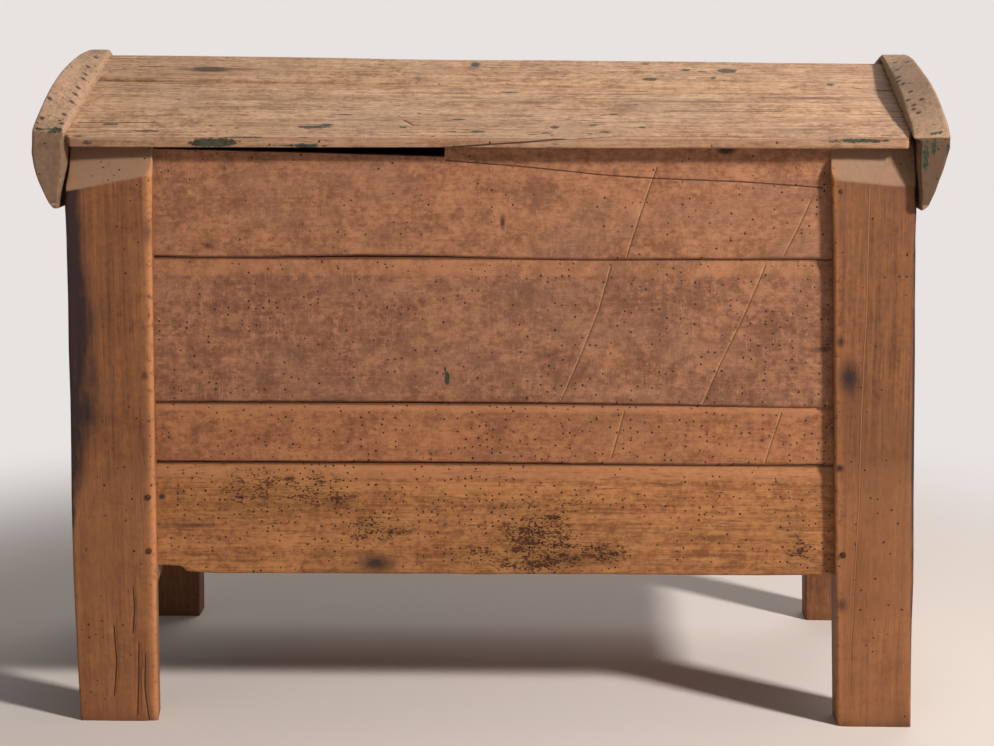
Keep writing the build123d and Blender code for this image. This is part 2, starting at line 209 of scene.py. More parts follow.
def weather_dirt(along: Array, across: Array, seed: int) -> Array:
    """Dirt that lies in long patches on the lid, from 0 to 0.35."""
    return 0.35 * np.clip(rolling(along, across, 150.0, 26.0, seed + 11), 0, 1)


def ramp(value: Array, start: float, end: float) -> Array:
    """Smoothstep that goes from 0 at start to 1 at end."""
    t = np.clip((value - start) / (end - start), 0, 1)
    return t * t * (3 - 2 * t)


def along_path(path: Path, u: Array) -> Array:
    """Height of a drawn line at each u, straight between its points."""
    stops = np.array(path)
    return np.interp(u, stops[:, 0], stops[:, 1])


def to_lines(paths: tuple[Path, ...], u: Array, v: Array) -> tuple[Array, Array]:
    """Distance to the nearest of some drawn lines, with the side that a place lies on.

    Formula: the place is projected on each straight run, held between its ends; the
    distance to that foot is kept where it is the least, and the cross product with the
    run's direction gives its sign. The strip is 1 within 7 mm of a line and fades beyond
    the line's ends.

    Args:
        paths: the lines.
        u: places along.
        v: places across.

    Returns:
        Signed distance in mm, held within LINE_REACH, and the strip.
    """
    best, strip = np.full(u.shape, LINE_REACH), np.zeros(u.shape)
    for path in paths:
        for number, ((u0, v0), (u1, v1)) in enumerate(zip(path[:-1], path[1:])):
            du, dv = u1 - u0, v1 - v0
            length = math.hypot(du, dv)
            run = ((u - u0) * du + (v - v0) * dv) / length
            cross = (u - u0) * dv - (v - v0) * du
            share = np.clip(run / length, 0, 1)
            away = np.hypot(u - u0 - share * du, v - v0 - share * dv)
            nearer = away < np.abs(best)
            shown = (away < 7.0).astype(float)
            if number == 0:
                shown = shown * np.clip(1 + run / 4.0, 0, 1)
            if number == len(path) - 2:
                shown = shown * np.clip(1 - (run - length) / 4.0, 0, 1)
            best = np.where(nearer, np.where(cross < 0, -away, away), best)
            strip = np.where(nearer, shown, strip)
    return best, strip


def groove(distance: Array, strip: Array, width: float) -> Array:
    """Round-bottomed groove along drawn lines, 1 at its bottom.

    Formula: strip times exp(-(distance / width) squared).
    """
    return strip * np.exp(-((distance / width) ** 2))


@dataclass(frozen=True)
class Spot:
    """An oval mark on a surface: its middle, half sizes in mm and how strong it is."""

    u: float
    v: float
    half_u: float
    half_v: float
    strength: float = 1.0


def spots_field(spots: tuple[Spot, ...], u: Array, v: Array) -> Array:
    """Cone over each oval: strength at its middle, half that on its outline, 0 further out.

    Formula: strength times (1 - r / 2), where r is the distance from the middle measured in
    half sizes, and the highest cone is kept.
    """
    best = np.zeros(u.shape)
    for spot in spots:
        r = np.hypot((u - spot.u) / spot.half_u, (v - spot.v) / spot.half_v)
        best = np.maximum(best, spot.strength * np.clip(1 - r / 2, 0, 1))
    return best


FIELDS = ("stain", "paint", "worm", "scribe", "scribed", "crack", "cracked", "fresh",
          "inside", "wear_and_highlight", "grime_and_shade")


def no_marks(count: int) -> dict[str, Array]:
    """Every field at its value for a bare surface."""
    fields = {name: np.zeros(count) for name in FIELDS}
    fields["scribe"] += LINE_REACH
    fields["crack"] += LINE_REACH
    return fields


def make_piece(name: str, points: Array, faces: Array, fields: dict[str, Array],
               finish: bpy.types.Material, body: str, node: str) -> bpy.types.Object:
    """Puts one worked-out surface into Blender in place of its CAD node.

    Args:
        name: the piece's name.
        points: vertices in mm.
        faces: four vertex numbers per face.
        fields: a value per vertex for each field the finish reads.
        finish: the material.
        body: the body that it rides on.
        node: the CAD node that it stands for.

    Returns:
        The new object.
    """
    mesh = bpy.data.meshes.new(name)
    mesh.vertices.add(len(points))
    mesh.vertices.foreach_set("co", (points / 1000).astype(np.float32).ravel())
    mesh.loops.add(faces.size)
    mesh.loops.foreach_set("vertex_index", faces.astype(np.int32).ravel())
    mesh.polygons.add(len(faces))
    mesh.polygons.foreach_set("loop_start", np.arange(0, faces.size, 4, dtype=np.int32))
    mesh.update(calc_edges=True)
    mesh.polygons.foreach_set("use_smooth", np.ones(len(faces), bool))
    mesh.set_sharp_from_angle(angle=math.radians(42))
    for field_name in FIELDS:
        values = np.ascontiguousarray(fields[field_name], dtype=np.float32)
        mesh.attributes.new(field_name, "FLOAT", "POINT").data.foreach_set("value", values)
    mesh.materials.append(finish)
    piece = bpy.data.objects.new(name, mesh)
    bpy.context.scene.collection.objects.link(piece)
    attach(piece, body)
    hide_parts(node)
    log.info("%s: %d faces on %s", name, len(faces), body)
    return piece


def flip_x(points: Array, faces: Array) -> tuple[Array, Array]:
    """Mirror image across the chest's middle, with the faces turned back to look outwards."""
    return points * np.array([-1.0, 1.0, 1.0]), faces[:, ::-1]


def flip_y(points: Array, faces: Array) -> tuple[Array, Array]:
    """Mirror image from back to front, with the faces turned back to look outwards."""
    return points * np.array([1.0, -1.0, 1.0]), faces[:, ::-1]


# Finishes


SCRIBE_SHADE = "#4b2c1a"
WORM_DUST, WORM_GALLERY, WORM_HOLE = "#84602f", "#431b11", "#2e1007"
PAINT_DARK, PAINT_LIGHT = "#151d16", "#2e3d2f"


def linear(hex_colour: str) -> Colour:
    """Turns an sRGB hex colour into linear red, green, blue and full alpha."""
    srgb = [int(hex_colour[i:i + 2], 16) / 255 for i in (1, 3, 5)]
    rgb = [c / 12.92 if c <= 0.04045 else ((c + 0.055) / 1.055) ** 2.4 for c in srgb]
    return (rgb[0], rgb[1], rgb[2], 1.0)


def add_node(tree: bpy.types.NodeTree, kind: str, inputs: dict | None = None,
             **settings: object) -> bpy.types.Node:
    """Adds a node, sets it up and links what feeds it.

    Args:
        tree: the material's or world's nodes.
        kind: the node's class name without the ShaderNode in front.
        inputs: input name or number to a socket, or to a plain value.
        settings: the node's own properties.

    Returns:
        The node.
    """
    node = tree.nodes.new("ShaderNode" + kind)
    for key, value in settings.items():
        setattr(node, key, value)
    for key, value in (inputs or {}).items():
        if isinstance(value, Socket):
            tree.links.new(value, node.inputs[key])
        else:
            node.inputs[key].default_value = value
    return node


@dataclass(frozen=True)
class Graph:
    """The nodes of one material, with short names for the steps that the finishes share."""

    tree: bpy.types.NodeTree

    def add(self, kind: str, inputs: dict | None = None, **settings: object) -> bpy.types.Node:
        """Adds a node, sets it up and links what feeds it."""
        return add_node(self.tree, kind, inputs, **settings)

    def place_in_mm(self) -> Socket:
        """Object coordinates in mm."""
        coordinates = self.add("TexCoord").outputs["Object"]
        return self.add("VectorMath", {0: coordinates, "Scale": 1000.0},
                        operation="SCALE").outputs[0]

    def noise(self, vector: Socket, size: tuple[float, float, float], detail: float,
              rough: float, warp: float = 0.0) -> Socket:
        """Noise whose lumps have the given sizes in mm along the three axes."""
        scale = tuple(1 / length for length in size)
        stretched = self.add("VectorMath", {0: vector, 1: scale}, operation="MULTIPLY")
        noise = self.add("TexNoise", {
            "Vector": stretched.outputs[0], "Scale": 1.0, "Detail": detail,
            "Roughness": rough, "Distortion": warp})
        return noise.outputs[0]

    def field(self, name: str) -> Socket:
        """A field that the piece carries on its vertices."""
        return self.add("Attribute", attribute_name=name).outputs["Fac"]

    def band(self, value: Socket, start: float, end: float) -> Socket:
        """Smooth step from 0 at start to 1 at end, which may run downwards."""
        low, high = min(start, end), max(start, end)
        to_low, to_high = (0.0, 1.0) if start < end else (1.0, 0.0)
        return self.add("MapRange", {
            "Value": value, "From Min": low, "From Max": high,
            "To Min": to_low, "To Max": to_high}, interpolation_type="SMOOTHSTEP").outputs[0]

    def line(self, name: str, strip: str, outer: float, inner: float,
             beside: float = 0.0) -> Socket:
        """A line along a drawn one, beside it in mm: 1 within inner mm, 0 beyond outer."""
        signed = self.sum(((self.field(name), 1.0),), beside)
        away = self.add("Math", {0: signed}, operation="ABSOLUTE").outputs[0]
        return self.product(self.band(away, outer, inner), self.field(strip))

    def mix(self, below: Socket | Colour, above: Socket | Colour, share: Socket,
            most: float) -> Socket:
        """Lays one colour over another, as much as share times most."""
        amount = self.add("Math", {0: share, 1: most}, operation="MULTIPLY", use_clamp=True)
        mix = self.add("Mix", {0: amount.outputs[0], 6: below, 7: above}, data_type="RGBA")
        return mix.outputs[2]

    def product(self, a: Socket, b: Socket) -> Socket:
        """One value times another."""
        return self.add("Math", {0: a, 1: b}, operation="MULTIPLY").outputs[0]

    def sum(self, terms: Terms, start: float = 0.0) -> Socket:
        """Weighted sum of several values."""
        total: object = start
        for value, weight in terms:
            total = self.add("Math", {0: value, 1: weight, 2: total},
                             operation="MULTIPLY_ADD").outputs[0]
        return total


@dataclass(frozen=True)
class Pattern:
    """The noises that an oak's colour, roughness and bump share."""

    fibre: Socket
    ring: Socket
    streak: Socket
    mottle: Socket
    cloud: Socket
    patch: Socket
    dust: Socket
    pores: Socket
    worn: Socket


class Grain(Enum):
    """The way a plank's grain runs, with the turn that brings it onto X."""

    ALONG_X = (0.0, 0.0, 0.0)
    ALONG_Y = (0.0, 0.0, -math.pi / 2)
    ALONG_Z = (0.0, math.pi / 2, 0.0)


@dataclass(frozen=True)
class OldOak:
    """Riven oak, split with a froe and scraped, then darkened by hands, smoke and age.

    It reads as a warm, uneven brown with faint long grain, cloudy lighter and darker places
    and a low sheen where it was rubbed. Lengths are in mm.

    The tone runs from dark over middle to light. A higher contrast makes it run sooner, and
    banding is how much of it comes from long lines rather than from clouds. dry colours wide
    patches, bare the inner faces, and the other colours go with the field of their name.
    fibre, ring, coarse, mottle_length and pore_length size the pattern. smoke is how dirty a
    wall board is, pores how dark its open grain is, and grain_depth how deep.
    """

    name: str
    grain: Grain
    light: str
    middle: str
    dark: str
    dry: str
    bare: str = "#8f7058"
    fibre: float = 1.8
    ring: float = 13.0
    coarse: float = 1.0
    mottle_length: float = 9.0
    banding: float = 0.2
    contrast: float = 1.5
    smoke: float = 0.0
    smoke_colour: str = "#624230"
    chip_colour: str = "#b98c6a"
    pores: float = 0.35
    pore_length: float = 13.0
    pore_colour: str = "#5c3822"
    grain_depth: float = 0.22
    roughness: float = 0.62
    stain_colour: str = "#231819"
    fresh_and_highlight_colour: str = "#a8724d"
    grime_and_shade_colour: str = "#4c2d1c"
    scribe_colour: str = "#b5855f"
    crack_colour: str = "#452616"

    def build(self) -> bpy.types.Material:
        """Makes the material.

        Returns:
            A material whose colour, roughness and bump come from the grain and the fields.
        """
        material = bpy.data.materials.new(self.name)
        material.use_nodes = True
        material.node_tree.nodes.clear()
        graph = Graph(material.node_tree)
        place = graph.place_in_mm()
        pattern = self._pattern(graph, place)
        surface = self._bare_wood(graph, pattern)
        surface, worn = self._wear(graph, surface, pattern, place)
        surface, marks = self._marks(graph, surface, pattern, place)
        paint = marks[-1][0]

        rough = graph.sum(((pattern.dust, 0.22), (pattern.fibre, 0.10), (paint, -0.10)),
                          self.roughness - 0.16)
        depth = self.grain_depth
        grain = ((pattern.fibre, 0.5 * depth), (pattern.streak, 0.7 * depth),
                 (pattern.ring, 0.8 * depth), (pattern.dust, 0.6 * depth),
                 (pattern.mottle, 0.8 * depth))
        height = graph.sum(grain + worn + marks)
        bump = graph.add("Bump", {"Height": height, "Distance": 0.001, "Strength": 1.0})
        shader = graph.add("BsdfPrincipled", {
            "Base Color": surface, "Roughness": rough, "Normal": bump.outputs[0], "IOR": 1.45,
            "Specular IOR Level": 0.26})
        graph.add("OutputMaterial", {"Surface": shader.outputs[0]})
        return material

    def _pattern(self, graph: Graph, place: Socket) -> Pattern:
        """The noises of the grain, and of what lies on it whatever way it runs."""
        grain = graph.add("Mapping", {"Vector": place, "Rotation": self.grain.value}).outputs[0]
        fibre, ring, pore = self.fibre, self.ring, 1.1 * self.coarse
        streak, mottle, worn = 3.8 * self.coarse, 5.0 * self.coarse, 3.6 * self.coarse
        return Pattern(
            fibre=graph.noise(grain, (70.0, fibre, fibre), 2.0, 0.5),
            ring=graph.noise(grain, (480.0, ring, ring), 3.0, 0.55, warp=0.5),
            streak=graph.noise(grain, (130.0, streak, streak), 3.0, 0.6),
            mottle=graph.noise(grain, (self.mottle_length, mottle, mottle), 5.0, 0.74),
            cloud=graph.noise(place, (52.0, 52.0, 36.0), 6.0, 0.68),
            patch=graph.noise(place, (170.0, 170.0, 90.0), 3.0, 0.6),
            dust=graph.noise(place, (9.0, 9.0, 9.0), 4.0, 0.7),
            pores=graph.noise(grain, (self.pore_length, pore, pore), 2.0, 0.6),
            worn=graph.noise(grain, (2.2 * self.pore_length, worn, worn), 5.0, 0.75))

    def _bare_wood(self, graph: Graph, pattern: Pattern) -> Socket:
        """The wood's own colour, from dark to light by a sum of the noises."""
        lines_share, cloud_share = self.banding, 1 - self.banding
        tone = graph.sum((
            (pattern.ring, 0.36 * lines_share), (pattern.streak, 0.36 * lines_share),
            (pattern.fibre, 0.28 * lines_share), (pattern.mottle, 0.34 * cloud_share),
            (pattern.cloud, 0.40 * cloud_share), (pattern.dust, 0.36 * cloud_share)))
        colour = graph.add("ValToRGB", {"Fac": tone})
        centre, half = 0.5 + 0.05 * cloud_share, 0.1 / self.contrast
        stops = colour.color_ramp.elements
        stops[0].position, stops[0].color = centre - half, linear(self.dark)
        stops[1].position, stops[1].color = centre + half, linear(self.light)
        stops.new(centre).color = linear(self.middle)
        return colour.outputs["Color"]

    def _wear(self, graph: Graph, surface: Socket, pattern: Pattern,
              place: Socket) -> tuple[Socket, Terms]:
        """Dry patches, fresh wood, smoke, bare inner faces, open pores, and rubbed edges with
        painted highlights.

        Returns:
            The colour, and the pores' share of the bump.
        """
        dry = graph.band(pattern.patch, 0.46, 0.68)
        surface = graph.mix(surface, linear(self.dry), dry, 0.4)
        surface = graph.mix(surface, linear(self.fresh_and_highlight_colour), graph.field("fresh"), 0.6)
        if self.smoke > 0:
            surface = self._smoke(graph, surface, place)
        surface = graph.mix(surface, linear(self.bare), graph.field("inside"), 0.8)
        pores = graph.product(graph.band(pattern.pores, 0.57, 0.68),
                              graph.band(pattern.patch, 0.40, 0.60))
        surface = graph.mix(surface, linear(self.pore_colour), pores, self.pores)
        gone = graph.product(graph.band(pattern.worn, 0.53, 0.66),
                             graph.band(pattern.cloud, 0.44, 0.60))
        surface = graph.mix(surface, linear(self.pore_colour), gone, 0.85 * self.pores)
        # Rubbed edges, and painted highlights along arrises, in the fresh wood's colour.
        edge = graph.product(graph.field("wear_and_highlight"), graph.band(pattern.dust, 0.30, 0.52))
        surface = graph.mix(surface, linear(self.fresh_and_highlight_colour), edge, 0.75)
        return surface, ((pores, -0.5 * self.grain_depth), (gone, -0.8 * self.grain_depth))

    def _marks(self, graph: Graph, surface: Socket, pattern: Pattern,
               place: Socket) -> tuple[Socket, Terms]:
        """Grime and painted shade, stains, worm, scribed lines with a painted shade on one side,
        cracks and paint, where the fields put them.

        Returns:
            The colour, and the marks' share of the bump, the paint's last.
        """
        dust = pattern.dust
        # Dirt, and painted shade where the pieces put it at joints, edges and crevices.
        grime_and_shade = graph.sum(((graph.field("grime_and_shade"), 1.0), (dust, 0.5), (pattern.streak, 0.3)), -0.4)
        surface = graph.mix(surface, linear(self.grime_and_shade_colour), graph.band(grime_and_shade, 0.0, 0.95), 0.85)
        stain = graph.sum(((graph.field("stain"), 1.0), (dust, 0.5), (pattern.fibre, 0.35)), -0.425)
        surface = graph.mix(surface, linear(self.stain_colour), graph.band(stain, 0.05, 0.95), 0.93)
        hole, chewed = self._worm_holes(graph, place)
        dusty = graph.band(graph.field("worm"), 0.35, 1.1)
        surface = graph.mix(surface, linear(WORM_DUST), dusty, 0.5)
        surface = graph.mix(surface, linear(WORM_GALLERY), chewed, 0.92)
        surface = graph.mix(surface, linear(WORM_HOLE), hole, 0.95)
        scribe = graph.line("scribe", "scribed", 1.7, 0.3)
        shade = graph.line("scribe", "scribed", 1.1, 0.2, 1.6)
        surface = graph.mix(surface, linear(self.scribe_colour), scribe, 0.42)
        surface = graph.mix(surface, linear(SCRIBE_SHADE), shade, 0.6)
        crack = graph.line("crack", "cracked", 1.25 * math.sqrt(self.coarse), 0.4)
        surface = graph.mix(surface, linear(self.crack_colour), crack, 0.85)
        paint = self._paint_flecks(graph, place, pattern.streak)
        rubbed = graph.band(dust, 0.38, 0.62)
        green = graph.mix(linear(PAINT_DARK), linear(PAINT_LIGHT), rubbed, 1.0)
        surface = graph.mix(surface, green, paint, 0.92)
        return surface, ((hole, -0.8), (chewed, -0.6), (scribe, -0.5), (crack, -1.2), (paint, 0.12))

    def _smoke(self, graph: Graph, surface: Socket,
               place: Socket) -> Socket:
        """Smoke, scraper marks and small chips across a wall's grain, thick in places."""
        runs = graph.noise(place, (2.2, 2.2, 32.0), 3.0, 0.65)
        broad = graph.noise(place, (26.0, 26.0, 30.0), 8.0, 0.74)
        chips = graph.noise(place, (3.4, 3.4, 4.6), 3.0, 0.7)
        where = graph.noise(place, (120.0, 120.0, 80.0), 5.0, 0.65)
        cover = graph.band(where, 0.38, 0.62)
        wash = graph.product(graph.band(broad, 0.42, 0.60), graph.band(where, 0.30, 0.58))
        surface = graph.mix(surface, linear(self.smoke_colour), wash, 0.52 * self.smoke)
        fine = graph.product(graph.band(runs, 0.54, 0.70), cover)
        surface = graph.mix(surface, linear(self.smoke_colour), fine, 0.45 * self.smoke)
        pale = graph.product(graph.band(runs, 0.41, 0.28), cover)
        surface = graph.mix(surface, linear(self.chip_colour), pale, 0.5 * self.smoke)
        chip = graph.product(graph.band(chips, 0.58, 0.67), graph.band(broad, 0.60, 0.40))
        return graph.mix(surface, linear(self.chip_colour), chip, 0.2 + 0.5 * self.smoke)

    def _worm_holes(self, graph: Graph,
                    place: Socket) -> tuple[Socket, Socket]:
        """Flight holes of wood worm, 1 to 2 mm across, and the galleries laid bare.

        Returns:
            The holes, and the galleries: short dark strokes along the grain, like lace,
            where the worm field is high.
        """
        split = graph.add("SeparateXYZ", {0: place})
        x, y, z = split.outputs
        flat = graph.add("CombineXYZ", {
            0: graph.sum(((x, 1.0), (y, 1.0))), 1: graph.sum(((z, 1.0), (y, 0.7)))})
        worm = graph.field("worm")
        holes: Socket | None = None
        for spacing, least, most in ((10.0, 0.0, 0.9), (4.6, 0.4, 0.62)):
            cells = graph.add("TexVoronoi", {
                "Vector": flat.outputs[0], "Scale": 1 / spacing, "Randomness": 1.0},
                voronoi_dimensions="2D")
            chance = graph.add("SeparateColor", {0: cells.outputs["Color"]})
            radius = graph.sum(((chance.outputs[1], 0.6),), 0.95)
            inside = graph.sum(((cells.outputs["Distance"], -spacing), (radius, 1.0)))
            here = graph.sum(((worm, most), (chance.outputs[0], -1.0)), -least)
            dot = graph.product(graph.band(inside, -0.35, 0.25), graph.band(here, 0.0, 0.02))
            holes = dot if holes is None else graph.add(
                "Math", {0: holes, 1: dot}, operation="MAXIMUM").outputs[0]
        lace = graph.noise(place, (4.6, 4.6, 1.7), 3.0, 0.6)
        island = graph.noise(place, (26.0, 26.0, 9.0), 3.0, 0.6)
        ground = graph.sum(((worm, 0.20), (lace, 1.0), (island, 0.8)), -0.62)
        chewed = graph.product(graph.band(ground, 0.47, 0.55), graph.band(worm, 0.45, 0.75))
        return holes, chewed

    def _paint_flecks(self, graph: Graph, place: Socket, streak: Socket) -> Socket:
        """Remains of green paint: each painted spot is broken where the wood shed it."""
        flaking = graph.noise(place, (9.0, 5.0, 5.0), 4.0, 0.7)
        amount = graph.sum(((graph.field("paint"), 1.0), (flaking, 0.9), (streak, 0.5)), -0.7)
        return graph.band(amount, 0.50, 0.60)


# The old woods of the chest. The front's boards differ: the lowest is yellow and worm-eaten,
# the one above it rubbed orange, the next smoked, and the top one scraped clean.

WALL_OAK = OldOak("riven_oak_wall", Grain.ALONG_X, light="#a67352", middle="#906246",
                  dark="#744a33", dry="#8b6853", smoke=0.7)
FRONT_OAKS = {
    "front_board_1": OldOak(
        "worm_eaten_oak_wall", Grain.ALONG_X, light="#b0794b", middle="#98653e", dark="#74482a",
        dry="#8f6339", smoke=0.1, banding=0.4, pores=0.85, pore_length=17.0, contrast=1.6),
    "front_board_2": OldOak(
        "rubbed_oak_wall", Grain.ALONG_X, light="#a8714b", middle="#936041", dark="#774930",
        dry="#8d6248", smoke=0.35),
    "front_board_3": OldOak(
        "smoked_oak_wall", Grain.ALONG_X, light="#a37254", middle="#8d6047", dark="#6f4734",
        dry="#86624e", smoke=1.0),
    "front_board_4": OldOak(
        "scraped_oak_wall", Grain.ALONG_X, light="#ad7856", middle="#97674a", dark="#7b5038",
        dry="#936c56", smoke=0.6),
}
END_OAK = OldOak("riven_oak_end_wall", Grain.ALONG_Y, light="#9d7351", middle="#866045",
                 dark="#694733", dry="#8a6a55", smoke=0.8)
POST_OAK = OldOak("riven_oak_post", Grain.ALONG_Z, light="#8c5c39", middle="#784d30",
                  dark="#5b3a26", dry="#80583c", contrast=1.25, mottle_length=16.0, bare="#93745c",
                  ring=11.0, banding=0.5, roughness=0.58, fresh_and_highlight_colour="#b87c50",
                  stain_colour="#20161a", scribe_colour="#a5714a", crack_colour="#24130b")
LID_OAK = OldOak("worn_oak_lid", Grain.ALONG_X, light="#d0aa89", middle="#b99371", dark="#916d53",
                 dry="#c0a086", bare="#94765d", ring=8.0, banding=0.42, contrast=1.9, pores=0.9,
                 coarse=2.0, mottle_length=17.0, fibre=3.4, pore_length=24.0, pore_colour="#6b4436",
                 grain_depth=0.32, roughness=0.72, stain_colour="#4a332b", grime_and_shade_colour="#75503c",
                 fresh_and_highlight_colour="#c9a587", crack_colour="#2a160d")
CLEAT_OAK = OldOak("worn_oak_cleat", Grain.ALONG_Y, light="#b39174", middle="#a0826a",
                   dark="#836650", dry="#a68a73", bare="#8f7359", ring=9.0, banding=0.35,
                   grain_depth=0.3, roughness=0.74, stain_colour="#2c1d16", grime_and_shade_colour="#45301f",
                   fresh_and_highlight_colour="#b9987a")
FLOOR_OAK = OldOak("dry_oak_floor", Grain.ALONG_Y, light="#957659", middle="#7d6049",
                   dark="#604532", dry="#877058", roughness=0.78)
PEG_OAK = OldOak("oak_peg_end_grain", Grain.ALONG_Z, light="#5a3724", middle="#472a1a",
                 dark="#2f1b10", dry="#4c3222", fibre=0.9, ring=3.0, roughness=0.7)


# Wall boards


SLIVER_END = (-64.6, -63.4)  # where the front's top board broke off along its edge


class Side(Enum):
    """A wall of the chest, with the quarter turns that bring its board from the front."""

    FRONT = 0
    RIGHT = 1
    BACK = 2
    LEFT = 3


@dataclass(frozen=True)
class WallBoard:
    """A riven board whose ends are held in the posts' grooves.

    Its upper edge is thinned to slide behind the thick lower edge of the board above.
    Across the board, u runs along it and v is the height, both in mm. lower_edge and
    top_edge are how far those edges stand above low and high.
    """

    node: str
    side: Side
    low: float
    high: float
    seed: int
    tongue: bool = True
    step: float = 4.5
    thinned: float = 22.0
    lower_edge: Path = ((-600.0, 0.0), (600.0, 0.0))
    top_edge: Path = ((-600.0, 0.0), (600.0, 0.0))
    scribes: tuple[Path, ...] = ()
    cracks: tuple[Path, ...] = ()
    stains: tuple[Spot, ...] = ()
    paints: tuple[Spot, ...] = ()
    worms: tuple[Spot, ...] = ()
    worm_level: float = 0.14
    edge_radius: float = 4.5
    tongue_height: float = 10.0
    tongue_faces: tuple[float, float] = (9.0, 16.0)
    thinning: float = 5.0

    def build(self, finish: bpy.types.Material) -> bpy.types.Object:
        """Builds the board in its place."""
        points, faces, fields = self._surface()
        turn = self.side.value * math.pi / 2
        face = SIZES.wall_face if self.side in (Side.FRONT, Side.BACK) else SIZES.end_face
        local = np.stack([points[:, 0], points[:, 1] - face, points[:, 2]], axis=1)
        cos, sin = round(math.cos(turn)), round(math.sin(turn))
        world = local.copy()
        world[:, 0] = cos * local[:, 0] - sin * local[:, 1]
        world[:, 1] = sin * local[:, 0] + cos * local[:, 1]
        return make_piece(self.node + "_plank", world, faces, fields, finish, "chest", self.node)

    def _surface(self) -> tuple[Array, Array, dict[str, Array]]:
        """The board with its outer face at depth 0.

        Formula: a block with rounded arrises, whose faces are moved by the thinning, the
        drawn edges, the riven waves and a notch along each scribed line.

        Returns:
            Vertices (u, depth, v), faces and fields.
        """
        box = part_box(self.node)
        across = 0 if self.side in (Side.FRONT, Side.BACK) else 1
        half = box[1][across] * 1000
        thick = SIZES.wall_thickness
        top = self.high + (self.tongue_height if self.tongue else 0.0)
        us = lines(-half, half, self.step, SLIVER_END)
        ds = lines(0, thick, 5.5, arris_lines(0, thick, self.edge_radius))
        vs = lines(self.low, top, self.step,
                   arris_lines(self.low, top, self.edge_radius)
                   + (self.high - 0.2, self.high + 0.4))
        points, faces = block_skin(us, ds, vs)
        u, depth, v = points.T.copy()
        outer, inner = depth < SAME_PLACE, depth > thick - SAME_PLACE
        past_top = 8.0
        low, high = np.array([-half, 0, self.low]), np.array([half, thick, top + past_top])
        points = round_arrises(points, low, high, self.edge_radius)

        d = points[:, 1]
        if self.tongue:
            thinning = self.thinning * ramp(v, self.high - self.thinned, self.high)
            d = d + thinning * (1 - d / thick)
            d = np.where(v > self.high, np.clip(d, *self.tongue_faces), d)
        face_share = 1 - np.clip(d / thick, 0, 1)
        relief = riven(u, v, self.seed) * face_share - riven(u, v, self.seed + 9) * (1 - face_share)
        scribe, scribed = to_lines(self.scribes, u, v)
        crack, cracked = to_lines(self.cracks, u, v)
        shown = depth < thick / 2
        notch = 0.45 * groove(scribe, scribed, 3.0) + 0.6 * groove(crack, cracked, 3.0)
        hidden = ramp(v, self.high - 1, self.high + 1) if self.tongue else 0.0
        d = d + (relief + notch * face_share) * (1 - hidden)

        lift = along_path(self.lower_edge, u) + 0.5 * rolling(u, v * 0, 45.0, 1.0, self.seed + 4)
        drop = along_path(self.top_edge, u)
        rise = lift * np.exp(-(v - self.low) / 14.0) + drop * ramp(v, self.high - 60.0, self.high)
        points = np.stack([points[:, 0], d, points[:, 2] + rise], axis=1)

        fields = no_marks(len(u))
        fields["scribe"], fields["scribed"] = scribe, scribed * shown
        fields["crack"], fields["cracked"] = crack, cracked * shown
        fields["stain"] = np.where(outer, spots_field(self.stains, u, v), 0.0)
        fields["paint"] = np.where(outer, spots_field(self.paints, u, v), 0.0)
        patches = spots_field(self.worms, u, v)
        uneven = 0.5 + 0.5 * rolling(u, v, 70.0, 40.0, self.seed + 6)
        fields["worm"] = np.where(inner, self.worm_level * 0.5, self.worm_level * uneven + patches)
        knee = self.high - self.thinned
        fields["fresh"] = ramp(v, knee - 2, knee + 1) * self.tongue
        fields["inside"] = inner.astype(float)
        # Painted shade on each board's rounded lower arris, and a painted shadow on the lower
        # board's top edge where the board above stands proud of it, darken every joint; patchy dirt
        # lies near the lower edge.
        above = v - self.low
        if self.low > SIZES.wall_bottom:
            under = 0.7 * np.exp(-((above / 2.6) ** 2))
        else:
            under = 0.3 * np.exp(-above / 5.0)
        uneven_shade = 0.5 + 0.5 * rolling(u, v * 0, 38.0, 1.0, self.seed + 14)
        patchy = 0.30 * np.clip(rolling(u, v, 26.0, 14.0, self.seed + 15), 0, 1)
        patchy = patchy * np.exp(-above / 26.0)
        joint_shadow = 0.8 * ramp(v, self.high - 5.4, self.high - 2.8) * self.tongue
        fields["grime_and_shade"] = np.clip(under * (0.45 + 0.5 * uneven_shade) + patchy + joint_shadow, 0, 1) * outer
        return points, faces, fields


